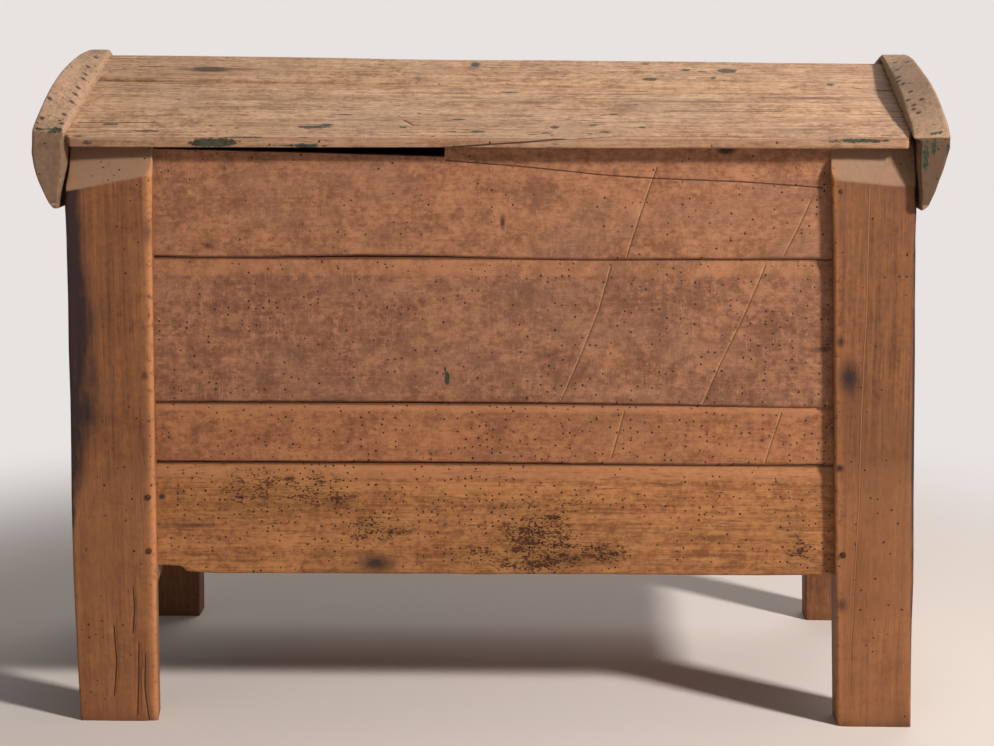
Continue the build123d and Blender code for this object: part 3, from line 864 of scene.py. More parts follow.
FRONT_BOARDS = (
    WallBoard(
        "front_board_1", Side.FRONT, 222.0, 389.0, 11, step=2.5, worm_level=0.5,
        lower_edge=((-520, 12.0), (-486, 11.5), (-455, 9.5), (-447, 1.8), (-397, -1.0), (-200, 0.2),
                    (15, 0.4), (150, 1.4), (307, 1.0), (497, 2.2)),
        stains=(Spot(-167, 239, 23, 13, 0.95), Spot(-427, 294.7, 30, 2.5, 0.7),
                Spot(-454, 330, 26, 2.0, 0.45), Spot(-480, 337.5, 4, 3.5, 1.1),
                Spot(110, 246, 60, 11, 0.55), Spot(-70, 236, 14, 3, 0.6)),
        worms=(Spot(64, 270, 40, 30, 1.0), Spot(70, 240, 52, 9, 1.15), Spot(172, 256, 30, 14, 1.0),
               Spot(95, 308, 14, 5, 0.95), Spot(447, 272, 18, 30, 0.68),
               Spot(-280, 340, 120, 30, 0.5), Spot(-180, 290, 60, 22, 0.55),
               Spot(-20, 250, 60, 20, 0.4), Spot(20, 330, 90, 24, 0.5)),
    ),
    WallBoard(
        "front_board_2", Side.FRONT, 389.0, 478.0, 23, step=2.5, thinned=12.0, worm_level=0.36,
        lower_edge=((-520, 1.0), (-268, 1.7), (14, 1.4), (140, 0.4), (275, -0.6), (463, 0.4),
                    (520, 0.2)),
        scribes=(((193.0, 467.0), (184.0, 432.0), (175.0, 398.8)),
                 ((419.0, 466.0), (408.0, 430.0), (397.0, 392.8))),
        worms=(Spot(250, 430, 230, 45, 0.22),),
    ),
    WallBoard(
        "front_board_3", Side.FRONT, 478.0, 690.0, 37, step=2.5, thinned=25.0, worm_level=0.28,
        lower_edge=((-520, 0.0), (-483, -0.2), (-380, 0.8), (-299, 0.9), (-145, 1.7), (14, 1.1),
                    (144, 0.4), (274, -1.7), (330, -3.6), (389, -4.0), (440, -4.6), (520, -5.6)),
        scribes=(((172.0, 679.5), (155.0, 615.5), (131.0, 552.9), (102.0, 484.0)),
                 ((392.0, 680.4), (363.0, 609.2), (328.0, 533.5), (306.0, 481.4))),
        paints=(Spot(-62, 515, 3.2, 9, 1.3), Spot(-65, 527, 1.6, 6, 1.1)),
        stains=(Spot(250, 610, 5, 60, 0.32), Spot(262, 520, 4, 40, 0.30),
                Spot(448, 590, 4, 60, 0.34), Spot(-200, 484, 60, 5, 0.35),
                Spot(478, 560, 9, 4, 0.8)),
        worms=(Spot(300, 600, 230, 90, 0.16), Spot(-150, 640, 260, 60, 0.1)),
    ),
    WallBoard(
        "front_board_4", Side.FRONT, 690.0, 854.5, 53, tongue=False, step=2.5, worm_level=0.12,
        lower_edge=((-520, 0.9), (-480, 0.8), (-401, -0.3), (-324, 0.0), (-243, 1.7), (-175, 3.2),
                    (-100, 2.3), (-32, 0.4), (57, -1.3), (137, -2.5), (299, -1.6), (454, -0.6),
                    (520, -1.0)),
        top_edge=((-520, 0.0), (-500, -6.0), (-476, -10.5), (-341, -13.6), (-199, -17.2),
                  (-64.5, -21.0), (-63.5, -3.0), (40, -2.0), (520, -2.0)),
        scribes=(((235.0, 819.4), (214.0, 756.3), (194.0, 694.0)),
                 ((454.0, 774.1), (437.0, 734.3), (418.0, 696.0))),
        cracks=(((-63.0, 830.6), (65.0, 818.9), (161.0, 808.6), (232.0, 803.9), (355.0, 799.3),
                 (471.0, 791.1)),),
        stains=(Spot(18, 741, 3, 8, 1.0), Spot(-404, 707, 6, 4, 0.8), Spot(333, 846, 9, 5, 1.4),
                Spot(-378, 823, 2, 5, 0.7)),
        worms=(Spot(350, 745, 160, 40, 0.16),),
    ),
)


def plain_boards(name: str, side: Side, joints: tuple[float, ...],
                 seed: int) -> tuple[WallBoard, ...]:
    """The boards of a wall that the photograph does not show, from the lowest up.

    Args:
        name: start of the boards' node names.
        side: the wall.
        joints: heights of the joints in mm.
        seed: first seed of their waves.

    Returns:
        One board for each space between joints.
    """
    edges = (SIZES.wall_bottom, *joints, SIZES.wall_top)
    boards = []
    for number in range(len(edges) - 1):
        own = seed + 17 * number
        random = np.random.default_rng(own)
        waves = tuple((float(u), float(random.uniform(-1.5, 1.8))) for u in range(-520, 521, 104))
        middle = (edges[number] + edges[number + 1]) / 2
        spot = Spot(float(random.uniform(-380, 380)), middle, 15, 8, 0.8)
        boards.append(WallBoard(
            f"{name}_board_{number + 1}", side, edges[number], edges[number + 1], own,
            tongue=number < len(edges) - 2, lower_edge=waves, stains=(spot,),
            worm_level=0.3 if number == 0 else 0.12))
    return tuple(boards)


# Posts


@dataclass(frozen=True)
class Post:
    """A corner post that runs down as a leg, bevelled on top towards its face.

    It is worked out as the rear right post, u across its face, depth from its face and v up,
    and mirrored to its corner. swell is how far its outer side bulges at each height,
    edge_stain how far a dark stain reaches in from that side, and inner_skew how far its
    inner side is out of square at the back, below the walls. buried are the heights of the
    pegs that do not reach its face.
    """

    node: str
    left: bool
    front: bool
    seed: int
    foot_width: float
    foot_splay: float
    step: float = 2.6
    cracks: tuple[Path, ...] = ()
    scribes: tuple[Path, ...] = ()
    stains: tuple[Spot, ...] = ()
    edge_stain: Path = ((0.0, 0.0), (900.0, 0.0))
    bevel_foot: float = 795.0
    bevel_depth: float = 25.0
    bevel_skew: float = math.radians(8.5)
    radius: float = 5.0
    arris_wear: float = 4.0
    swell: Path = ((0.0, 1.5), (900.0, 1.5))
    inner_skew: float = 0.0
    buried: tuple[float, ...] = ()

    @property
    def width(self) -> float:
        """Width of the post's face at the top."""
        return SIZES.front_post_width if self.front else SIZES.rear_post_width

    def edges_at(self, z: Array) -> tuple[Array, Array]:
        """Distances of the inner and outer side from the chest's middle at a height.

        Formula: the inner side leans evenly from the ridge's height to the foot, and the
        outer side leans out below the start of the taper.
        """
        top_inner = SIZES.post_top_half - self.width
        foot_inner = SIZES.post_top_half + self.foot_splay - self.foot_width
        inner = top_inner + (foot_inner - top_inner) * (1 - z / SIZES.ridge_underside)
        outer = SIZES.post_top_half + self.foot_splay * np.clip(1 - z / SIZES.taper_start, 0, None)
        return inner, outer

    def build(self, finish: bpy.types.Material) -> bpy.types.Object:
        """Builds the post in its corner."""
        points, faces, fields = self._surface()
        if self.left:
            points, faces = flip_x(points, faces)
        if self.front:
            points, faces = flip_y(points, faces)
        return make_piece(self.node + "_leg", points, faces, fields, finish, "chest", self.node)

    def _surface(self) -> tuple[Array, Array, dict[str, Array]]:
        """The rear right post.

        Formula: a rounded block whose sides lean by the taper, whose top is pressed down to
        the lower of the lid's underside and the bevel's plane, and whose faces are riven.

        Returns:
            Vertices, faces and fields.
        """
        width, thick = self.width, SIZES.post_face - SIZES.post_back
        tall = 900.0
        us = lines(0, width, self.step, arris_lines(0, width, self.radius))
        ds = lines(0, thick, 5.0, arris_lines(0, thick, self.radius) + (self.bevel_depth,))
        vs = lines(0, tall, self.step, arris_lines(0, tall, self.radius))
        points, faces = block_skin(us, ds, vs)
        u, depth, v = points.T.copy()
        low, high = np.array([0, 0, -4.0]), np.array([width, thick, tall])
        points = round_arrises(points, low, high, self.radius)

        # Width, depth and top
        pu, pd, pv = points[:, 0], points[:, 1], np.maximum(points[:, 2], 0.0)
        pd = pd + self.arris_wear * np.exp(-(pu + pd) / 7.0)
        inner_x, outer_x = self.edges_at(pv)
        share = pu / width
        x = inner_x + (outer_x - inner_x) * share
        y = SIZES.post_face - pd

        seat = SIZES.eave + (SIZES.lid_half_depth - y) * math.tan(SIZES.slope) - 0.4
        middle = SIZES.post_top_half - width / 2
        bevel_back = SIZES.lid_half_depth - SIZES.post_face + self.bevel_depth
        bevel_top = SIZES.eave + bevel_back * math.tan(SIZES.slope)
        steep = (bevel_top - self.bevel_foot) / self.bevel_depth
        bevel = self.bevel_foot - (x - middle) * math.tan(self.bevel_skew) + pd * steep
        bevel = bevel + 1.3 * rolling(x, y * 3, 34.0, 60.0, self.seed + 5)
        top = np.minimum(seat, bevel)
        knee = 700.0
        z = np.where(pv > knee, knee + (pv - knee) * (top - knee) / (tall - knee), pv)

        # Bulge, waves and grooves
        swell = along_path(self.swell, z)
        outer_x, x = outer_x + swell, x + swell * share
        x = x + self.inner_skew * (pd / thick) * (1 - share) * ramp(-z, -222.0, -196.0)
        near_face, near_back = np.exp(-pd / 6.0), np.exp(-(thick - pd) / 6.0)
        near_in, near_out = np.exp(-pu / 6.0), np.exp(-(width - pu) / 6.0)
        crack, cracked = to_lines(self.cracks, x, z)
        scribe, scribed = to_lines(self.scribes, x, z)
        notch = 1.5 * groove(crack, cracked, 2.6) + 0.4 * groove(scribe, scribed, 3.0)
        calm = 1 - ramp(z, 740, 790)
        y = y - (riven(z, x, self.seed) + 0.6 + notch) * near_face * (0.3 + 0.7 * calm)
        y = y + riven(z, x, self.seed + 3) * near_back * calm
        side = riven(z, y, self.seed + 6) - 0.9
        x = x + (near_out * side - near_in * side * 0.8) * (0.25 + 0.75 * calm)

        # Marks
        fields = no_marks(len(u))
        fields["crack"], fields["cracked"] = crack, cracked * (depth < 3)
        fields["scribe"], fields["scribed"] = scribe, scribed * (depth < 3)
        stain = spots_field(self.stains, x, z) * (depth < 12)
        reach = along_path(self.edge_stain, z)
        from_edge = outer_x - x + 0.8 * pd
        ragged = 0.16 * rolling(z, x, 60.0, 12.0, self.seed + 8)
        ragged = ragged + 0.08 * rolling(z, x, 14.0, 5.0, self.seed + 9)
        fade = np.maximum(from_edge - 0.2 * reach, 0) / np.maximum(0.55 * reach, 1.0)
        edge = 1.15 * np.exp(-(fade**1.6)) * (1 + 2.2 * ragged) * (reach > 1.5)
        fields["stain"] = np.maximum(stain, edge)
        on_bevel = ramp(z - (bevel - pd * steep), -3.0, 1.0) * (pd < self.bevel_depth + 4)
        fields["inside"] = np.maximum(on_bevel * 1.3, 0.9 * (v > tall - 1) + 0.8 * (v < 1))
        fields["stain"] = fields["stain"] * (1 - np.clip(on_bevel, 0, 1))
        fields["worm"] = np.full(len(u), 0.06) + 0.05 * rolling(z, x, 90.0, 60.0, self.seed + 2)
        fields["fresh"] = 0.28 * ramp(-z, -430.0, -300.0) * self.front
        # Darker over the foot's lowest few mm, with smoked patches.
        smoked = ramp(-rolling(z, x, 120.0, 60.0, self.seed + 12), 0.2, 0.9)
        fields["grime_and_shade"] = 0.5 * np.exp(-pv / 14.0) + 0.25 * smoked
        # Lighter edges: real rubbing along the front arrises, and a painted highlight along the
        # inner front arris.
        lit_edge = np.exp(-((np.hypot(pu, pd) / 8.0) ** 2))
        far_edge = np.exp(-np.hypot(width - pu, pd) / 3.0)
        fields["wear_and_highlight"] = np.clip(lit_edge * 1.5 + 0.7 * far_edge, 0, 1)
        return np.stack([x, y, z], axis=1), faces, fields


POSTS = (
    Post(
        "front_left_post", True, True, 71, foot_width=115.0, foot_splay=8.0, arris_wear=5.5,
        bevel_skew=math.radians(11.3), bevel_foot=798.0, buried=(787.0,),
        inner_skew=7.5,
        swell=((0, 3.4), (31, 3.7), (93, 5.9), (155, 7.4), (215, 9.0), (336, 8.9), (410, 7.7),
               (484, 6.9), (557, 7.6), (629, 6.7), (771, 6.9), (785, 5.0), (799, 3.0), (812, 0.8),
               (900, 0.8)),
        cracks=(((523.0, 203.6), (521.5, 175.0), (525.0, 136.6)),
                ((553.0, 145.0), (550.5, 90.0), (556.0, 38.0)),
                ((508.0, 103.1), (510.0, 50.0), (505.0, 1.4)),
                ((517.0, 120.0), (519.0, 60.0), (522.0, 10.0))),
        stains=(Spot(487, 727, 7, 18, 0.62), Spot(497, 520, 4, 5, 0.8),
                Spot(570, 250, 30, 60, 0.22)),
        edge_stain=((0, 0), (235, 0), (290, 5), (340, 16), (390, 34), (450, 52), (600, 52),
                    (700, 40), (760, 30), (900, 24)),
    ),
    Post(
        "front_right_post", False, True, 83, foot_width=106.0, foot_splay=18.0,
        bevel_skew=math.radians(4.5), bevel_foot=800.0, buried=(340.0,),
        swell=((0, 4.3), (93, 3.8), (155, 4.0), (220, 5.6), (276, 5.2), (336, 4.3), (557, 4.4),
               (629, 3.7), (757, 4.2), (771, 3.4), (785, 2.4), (800, 1.0), (900, 0.8)),
        scribes=(((534.0, 792.0), (535.0, 622.7), (532.0, 465.0), (533.0, 344.5), (527.0, 128.6),
                  (527.0, 57.0)),),
        stains=(Spot(514, 521.7, 13, 20, 0.95), Spot(500, 573, 4, 7, 0.9),
                Spot(504, 388.6, 4.5, 4.5, 1.1), Spot(513, 184.5, 6, 9, 0.8),
                Spot(585, 640, 30, 90, 0.2), Spot(602, 300, 26, 120, 0.25),
                Spot(495, 740, 6, 30, 0.35)),
        edge_stain=((0, 0), (60, 5), (300, 7), (620, 6), (900, 5)),
    ),
    Post(
        "back_left_post", True, False, 97, foot_width=88.0, foot_splay=8.0, step=4.0,
        cracks=(((540.0, 180.0), (538.0, 90.0), (541.0, 2.0)),),
        stains=(Spot(530, 420, 16, 26, 0.8), Spot(560, 140, 30, 60, 0.3)),
        edge_stain=((0, 6), (300, 4), (500, 9), (700, 8), (900, 4)),
    ),
    Post(
        "back_right_post", False, False, 103, foot_width=88.0, foot_splay=18.0, step=4.0,
        cracks=(((560.0, 150.0), (563.0, 70.0), (559.0, 2.0)),),
        stains=(Spot(550, 610, 14, 24, 0.8), Spot(520, 300, 20, 60, 0.3)),
        edge_stain=((0, 4), (400, 6), (700, 4), (900, 4)),
    ),
)


# Pegs and pins


@dataclass(frozen=True)
class Rod:
    """One whittled peg or pin: where its tail and head are, its radius and how flat it is cut."""

    tail: tuple[float, float, float]
    head: tuple[float, float, float]
    radius: float
    facets: float = 0.05
    seed: int = 1

    def surface(self) -> tuple[Array, Array]:
        """The rod as a block bent round.

        Formula: a square block's sides are blown out to a circle, its head is crowned, and
        a rolling wave along and round it leaves the knife's facets.

        Returns:
            Vertices and faces.
        """
        tail, head = np.array(self.tail), np.array(self.head)
        length = float(np.linalg.norm(head - tail))
        axis = (head - tail) / length
        helper = np.array([0.0, 0.0, 1.0]) if abs(axis[2]) < 0.9 else np.array([1.0, 0.0, 0.0])
        side = np.cross(axis, helper)
        side /= np.linalg.norm(side)
        other = np.cross(axis, side)
        square = np.linspace(-1, 1, 7)
        along = lines(0, length, length / 5, (length - 1.2, length - 0.4))
        points, faces = block_skin(square, square, along)
        a, b, t = points.T
        reach = np.maximum(np.abs(a), np.abs(b))
        length_ab = np.maximum(np.hypot(a, b), 1e-9)
        ca, cb = a * reach / length_ab, b * reach / length_ab
        turn = np.arctan2(cb, ca)
        wobble = 1 + self.facets * rolling(turn * 10, t, 8.0, 30.0, self.seed)
        taper = 1 - 0.12 * ramp(t, length - 1.4, length)
        r = self.radius * wobble * taper
        crown = 0.5 * self.radius * 0.22 * (1 - reach**2) * (t > length - SAME_PLACE)
        centre = tail + axis * t[:, None] + axis * crown[:, None]
        return centre + side * (ca * r)[:, None] + other * (cb * r)[:, None], faces


@dataclass(frozen=True)
class RodSet:
    """The pegs of one joint, or one pin, as a single piece."""

    node: str
    body: str
    rods: tuple[Rod, ...]

    def build(self, finish: bpy.types.Material) -> bpy.types.Object:
        """Builds all the rods into one mesh."""
        points, faces, count = [], [], 0
        for rod in self.rods:
            rod_points, rod_faces = rod.surface()
            points.append(rod_points)
            faces.append(rod_faces + count)
            count += len(rod_points)
        fields = no_marks(count)
        name = self.node + "_whittled"
        if "pegs" in self.node:
            name = self.node.replace("_pegs", "_peg_heads")
        return make_piece(name, np.concatenate(points), np.concatenate(faces), fields, finish,
                          self.body, self.node)


def post_peg_rods(post: Post) -> tuple[Rod, ...]:
    """The pegs of one post, where the CAD has them, with their heads a hair proud."""
    sx, sy = (-1 if post.left else 1), (-1 if post.front else 1)
    radius, from_edge = 4.5, 11.0
    face_tail, end_tail, end_depth = 260.0, 560.0, 250.5
    buried_head, top_head, low_head = 296.0, 299.2, 300.2
    rods = []
    for number, z in enumerate((*SIZES.low_peg_heights, SIZES.high_peg_height)):
        x = sx * (float(post.edges_at(np.array(z))[0]) + from_edge)
        head = top_head if z == SIZES.high_peg_height else low_head
        head = buried_head if z in post.buried else head
        rods.append(Rod((x, sy * face_tail, z), (x, sy * head, z), radius, seed=number + 3))
    for number, z in enumerate(SIZES.low_peg_heights):
        outer = sx * (float(post.edges_at(np.array(z))[1]) + 0.4)
        tail = (sx * end_tail, sy * end_depth, z)
        rods.append(Rod(tail, (outer, sy * end_depth, z), radius, seed=number + 9))
    return tuple(rods)


def hinge_pin(sx: int) -> Rod:
    """The pin on the left (-1) or right (1) that the lid turns on."""
    tail, head, radius = 552.5, 638.5, 9.0
    place = (SIZES.hinge_depth, SIZES.hinge_height)
    return Rod((sx * tail, *place), (sx * head, *place), radius, facets=0.03, seed=7)


# The lid


def lid_tilt(x: Array, y: Array) -> Array:
    """Rise of the lid's ridge towards the left, in mm, which dies out at the eaves."""
    return -0.0103 * x * (1 - np.abs(y) / SIZES.lid_half_depth)


@dataclass(frozen=True)
class SlopeBoard:
    """The wide board of one of the lid's slopes.

    Along it u is X; s is the distance down the slope from the ridge, and n stands square to
    the slope's underside. left_end and right_end are how far the board reaches at each s.
    Marks on the eave's edge, edge_paints and edge_cracks, are drawn in X and Z.
    """

    node: str
    front: bool
    seed: int
    step: float = 2.8
    cracks: tuple[Path, ...] = ()
    paints: tuple[Spot, ...] = ()
    stains: tuple[Spot, ...] = ()
    edge_paints: tuple[Spot, ...] = ()
    edge_cracks: tuple[Path, ...] = ()
    left_end: Path = ((0.0, 618.0), (400.0, 618.0))
    right_end: Path = ((0.0, 618.0), (400.0, 618.0))
    radius: float = 4.0
    half: float = SIZES.lid_board_half

    def build(self, finish: bpy.types.Material) -> bpy.types.Object:
        """Builds the board on its slope."""
        points, faces, fields = self._surface()
        if self.front:
            points, faces = flip_y(points, faces)
        return make_piece(self.node + "_plank", points, faces, fields, finish, "lid", self.node)

    def _surface(self) -> tuple[Array, Array, dict[str, Array]]:
        """The rear slope's board.

        Formula: a rounded block in (u, s, n), with an upright eave edge, whose top is worn
        into ridges along the grain; then y = s cos + n sin and z = ridge - s sin + n cos.

        Returns:
            Vertices, faces and fields.
        """
        thick = SIZES.board_thickness
        cos, sin = math.cos(SIZES.slope), math.sin(SIZES.slope)
        start, end = SIZES.ridge_half - 9.0, SIZES.lid_half_depth / cos
        us = lines(-self.half, self.half, self.step)
        tongue_end = SIZES.ridge_half
        ss = lines(start, end, self.step,
                   arris_lines(start, end, self.radius) + (tongue_end - 0.2, tongue_end + 0.4))
        ns = lines(0, thick, 3.5, arris_lines(0, thick, self.radius))
        points, faces = block_skin(us, ss, ns)
        u, s0, n0 = points.T.copy()
        low, high = np.array([-self.half, start, 0]), np.array([self.half, end, thick])
        points = round_arrises(points, low, high, self.radius)
        u, s, n = points.T
        top, under = n0 > thick - SAME_PLACE, n0 < SAME_PLACE
        share = n / thick

        even = 560.0
        for sign, path in ((-1, self.left_end), (1, self.right_end)):
            past = np.clip(sign * u - even, 0, None)
            pulled = even + past * (along_path(path, s) - even) / (self.half - even)
            u = np.where(past > 0, sign * pulled, u)
        crack, cracked = to_lines(self.cracks, u, s)
        worn = weathered(u, s, self.seed) - 1.2 * groove(crack, cracked, 2.8)
        uneven = 0.5 + 0.5 * rolling(u, s, 210.0, 400.0, self.seed + 6)
        sag = -1.2 * ramp(s, 180.0, 330.0) * uneven
        tucked = 1.2 * (1 - ramp(s, 104.0, 126.0))
        n = n + (worn - 0.7 + sag - tucked) * share - 0.5 * riven(u, s, self.seed + 7) * (1 - share)
        n = np.where(s0 < tongue_end, np.clip(n, 4.7, 9.3), n)
        edge_wave = 1.0 * rolling(u, n * 0, 85.0, 1.0, self.seed + 8)
        upright = ramp(s, end - 30.0, end)
        s = s + (edge_wave - 1.2 - n * math.tan(SIZES.slope)) * upright

        y = s * cos + n * sin
        z = SIZES.ridge_underside - s * sin + n * cos + lid_tilt(u, y)
        fields = no_marks(len(u))
        on_edge = s0 > end - 5.0
        edge_crack, edge_cracked = to_lines(self.edge_cracks, u, z)
        fields["crack"] = np.where(on_edge, edge_crack, crack)
        fields["cracked"] = np.where(on_edge, edge_cracked, cracked * (n0 > 4))
        paint = spots_field(self.paints, u, s0) * (n0 > 4)
        paint = np.maximum(paint, spots_field(self.edge_paints, u, z) * on_edge)
        fields["paint"] = paint
        fields["stain"] = spots_field(self.stains, u, s0) * top
        fields["inside"] = under * 0.8
        fields["worm"] = np.full(len(u), 0.05)
        fields["wear_and_highlight"] = 0.7 * ramp(s0, end - 12.0, end - 4.0) * top
        # The eave's upright edge is painted darker, and the top carries weather dirt.
        fields["grime_and_shade"] = 0.5 * on_edge + weather_dirt(u, s, self.seed) * top
        return np.stack([u, y, z], axis=1), faces, fields


FRONT_SLOPE = SlopeBoard(
    "lid_front_board", True, 131,
    left_end=((0.0, 618.0), (306.0, 618.0), (308.0, 600.0), (330.0, 591.0)),
    right_end=((0.0, 618.0), (262.0, 618.0), (264.0, 599.0), (330.0, 584.0)),
    edge_cracks=(((-75.0, 846.5), (-40.0, 850.0), (5.0, 853.5), (50.0, 856.5), (88.0, 860.0),
                  (132.0, 862.5)),
                 ((-75.0, 847.4), (-20.0, 851.6), (5.0, 853.9))),
    cracks=(((104.0, 325.5), (178.0, 311.0), (294.0, 312.0), (433.0, 314.0), (560.0, 313.0)),
            ((-124.0, 250.0), (-110.0, 268.0)),
            ((-590.0, 262.0), (-530.0, 262.5), (-480.0, 261.0)),
            ((250.0, 206.0), (330.0, 207.5), (420.0, 206.0))),
    paints=(
        Spot(-489, 295.4, 23, 3.6), Spot(-543, 270, 11, 3.4), Spot(-253, 280, 22, 6, 0.95),
        Spot(-235, 272, 13, 5), Spot(-211, 230, 17, 3.0), Spot(-46, 247, 12, 2.8),
        Spot(-124, 277, 6, 4), Spot(-54, 294.4, 9, 2.6), Spot(-17, 294.2, 14, 5.5),
        Spot(-80, 315.9, 5, 3.0), Spot(-398, 275, 4, 3.2), Spot(-360, 284.7, 4, 2.6),
        Spot(25, 132.9, 18, 2.6), Spot(176, 223.5, 8, 3.6), Spot(92, 273.9, 9, 5),
        Spot(148, 265.7, 8, 4), Spot(162, 293, 8, 4), Spot(140, 300, 6, 3), Spot(215, 275, 7, 4),
        Spot(80, 297.4, 9, 3), Spot(60, 305, 8, 3), Spot(-350, 323, 42, 2.4, 0.85),
        Spot(-250, 324, 34, 2.0, 0.8), Spot(520, 320, 60, 5, 0.62), Spot(560, 306, 40, 3, 0.8),
        Spot(-577, 318, 14, 5, 0.8)),
    edge_paints=(Spot(-390, 855.5, 37, 5.6, 1.1), Spot(-300, 852, 18, 2.4, 0.85),
                 Spot(-262, 851.5, 36, 3.2, 0.95), Spot(-566, 855, 9, 4, 0.85),
                 Spot(520, 859, 62, 4.0, 0.8)),
    stains=(
        Spot(197, 159, 22, 4, 0.5), Spot(195, 190, 22, 7, 0.55), Spot(470, 150, 60, 5, 0.75),
        Spot(300, 170, 90, 5, 0.65), Spot(-520, 132, 60, 7, 0.5), Spot(-470, 104, 90, 3, 0.5),
        Spot(-150, 112, 60, 3.5, 0.42), Spot(50, 175, 80, 6, 0.5), Spot(-340, 200, 90, 7, 0.45),
        Spot(420, 285, 80, 5, 0.45), Spot(480, 245, 60, 4, 0.45), Spot(-100, 160, 110, 4, 0.4),
        Spot(380, 132, 110, 3, 0.55), Spot(180, 140, 70, 2.5, 0.5), Spot(300, 240, 60, 3, 0.45),
        Spot(-420, 118, 110, 3, 0.5), Spot(-250, 150, 60, 2.5, 0.45), Spot(120, 205, 50, 3, 0.45)),
)
BACK_SLOPE = SlopeBoard(
    "lid_back_board", False, 149, step=4.2,
    cracks=(((-590.0, 210.0), (-430.0, 212.0), (-300.0, 209.0)),
            ((250.0, 300.0), (420.0, 297.0), (600.0, 299.0))),
    paints=(Spot(-300, 240, 20, 5), Spot(-120, 300, 16, 4), Spot(210, 180, 14, 4),
            Spot(420, 262, 18, 5), Spot(60, 140, 12, 4), Spot(-480, 150, 10, 5),
            Spot(330, 308, 40, 5, 0.9)),
    stains=(Spot(-60, 220, 26, 12, 0.8), Spot(300, 130, 80, 5, 0.45), Spot(-400, 290, 70, 5, 0.4)),
    edge_paints=(Spot(-200, 855, 50, 5, 1.0), Spot(340, 856, 30, 4, 1.0)),
)


@dataclass(frozen=True)
class RidgeBoard:
    """The ridge board, hewn from one piece with a slope on each side."""

    node: str = "ridge_board"
    seed: int = 167
    step: float = 2.8
    half: float = SIZES.lid_board_half
    radius: float = 3.0
    apex_radius: float = 7.0
    front_edge: Path = ((-588.0, -13.0), (-320.0, -6.0), (-50.0, 1.0), (159.0, 11.0), (381.0, 13.0),
                        (579.0, 17.0))
    cracks: tuple[Path, ...] = (
        ((-597.0, -14.3), (-560.0, -14.6), (-514.0, -14.0)),
        ((-540.0, -46.5), (-525.0, -45.9), (-469.0, -45.4)),
        ((120.0, 40.0), (260.0, 42.0), (380.0, 39.0)))
    paints: tuple[Spot, ...] = (
        Spot(231, -15, 7, 3), Spot(234, -75.5, 12, 4.5), Spot(290, -39.6, 9, 5),
        Spot(314, -46, 9, 4), Spot(353, -41.5, 12, 9, 1.3), Spot(329, -70.6, 6, 3.4),
        Spot(502, -82.9, 6, 3.4), Spot(-29, -25, 8, 12, 0.9), Spot(-200, 50, 16, 6),
        Spot(180, 30, 12, 5), Spot(420, 72, 14, 4))
    stains: tuple[Spot, ...] = (
        Spot(-430, -57, 22, 9, 1.7), Spot(-392, -54, 36, 2.6, 1.1), Spot(-466, -58, 24, 2.6, 0.9),
        Spot(-29, -25.3, 8, 13, 0.6), Spot(216, -49, 10, 6, 0.6), Spot(-560, -30, 50, 4, 0.4),
        Spot(-480, -80, 90, 4, 0.5), Spot(300, 60, 30, 14, 0.9), Spot(-100, -88, 120, 4, 0.3))

    def build(self, finish: bpy.types.Material) -> bpy.types.Object:
        """Builds the ridge board."""
        points, faces, fields = self._surface()
        return make_piece(self.node + "_hewn", points, faces, fields, finish, "lid", self.node)

    def _surface(self) -> tuple[Array, Array, dict[str, Array]]:
        """The gabled board.

        Formula: a rounded block in (u, t, n); then y = t cos and the height falls from the
        ridge by tan slope times the square root of y squared and the apex radius squared.

        Returns:
            Vertices, faces and fields.
        """
        thick = SIZES.ridge_thickness
        cos = math.cos(SIZES.slope)
        reach = SIZES.ridge_half
        us = lines(-self.half, self.half, self.step)
        ts = lines(-reach, reach, self.step, arris_lines(-reach, reach, self.radius))
        ns = lines(0, thick, 4.0, arris_lines(0, thick, self.radius))
        points, faces = block_skin(us, ts, ns)
        u, t0, n0 = points.T.copy()
        low, high = np.array([-self.half, -reach, 0]), np.array([self.half, reach, thick])
        u, t, n = round_arrises(points, low, high, self.radius).T
        top, share = n0 > thick - SAME_PLACE, n / thick
        crack, cracked = to_lines(self.cracks, u, t)
        worn = weathered(u, t, self.seed) - 1.2 * groove(crack, cracked, 2.8)
        feather = 3.2 * ramp(np.abs(t), 58.0, reach)
        n = n + (worn - 0.8 - feather) * share
        edge = rolling(u, np.sign(t) * 3, 110.0, 1.0, self.seed + 4)
        edge = edge + np.where(t < 0, along_path(self.front_edge, u), 0.0)
        t = t + np.sign(t) * (edge - 0.8) * ramp(np.abs(t), 50.0, reach)
        apex = self.apex_radius * (1 + 0.4 * rolling(u, t * 0, 160.0, 1.0, self.seed + 3))
        y = t * cos + n * math.sin(SIZES.slope) * np.clip(t / 30.0, -1, 1)
        flat = np.sqrt(y**2 + apex**2)
        z = SIZES.ridge_underside - flat * math.tan(SIZES.slope) + n / cos + lid_tilt(u, y)
        fields = no_marks(len(u))
        fields["crack"], fields["cracked"] = crack, cracked * (n0 > 4)
        fields["grime_and_shade"] = weather_dirt(u, t, self.seed) * top
        # Painted shade along the edges where the ridge board stands over the slope boards.
        fields["grime_and_shade"] += 0.2 * ramp(np.abs(t0), reach - 4.0, reach - 1.0) * (n0 > 4)
        fields["paint"] = spots_field(self.paints, u, t0) * top
        fields["stain"] = spots_field(self.stains, u, t0) * top
        fields["inside"] = (n0 < SAME_PLACE) * 0.8
        fields["worm"] = np.full(len(u), 0.05)
        fields["wear_and_highlight"] = 0.5 * np.exp(-np.abs(t) / 6.0) * top
        return np.stack([u, y, z], axis=1), faces, fields


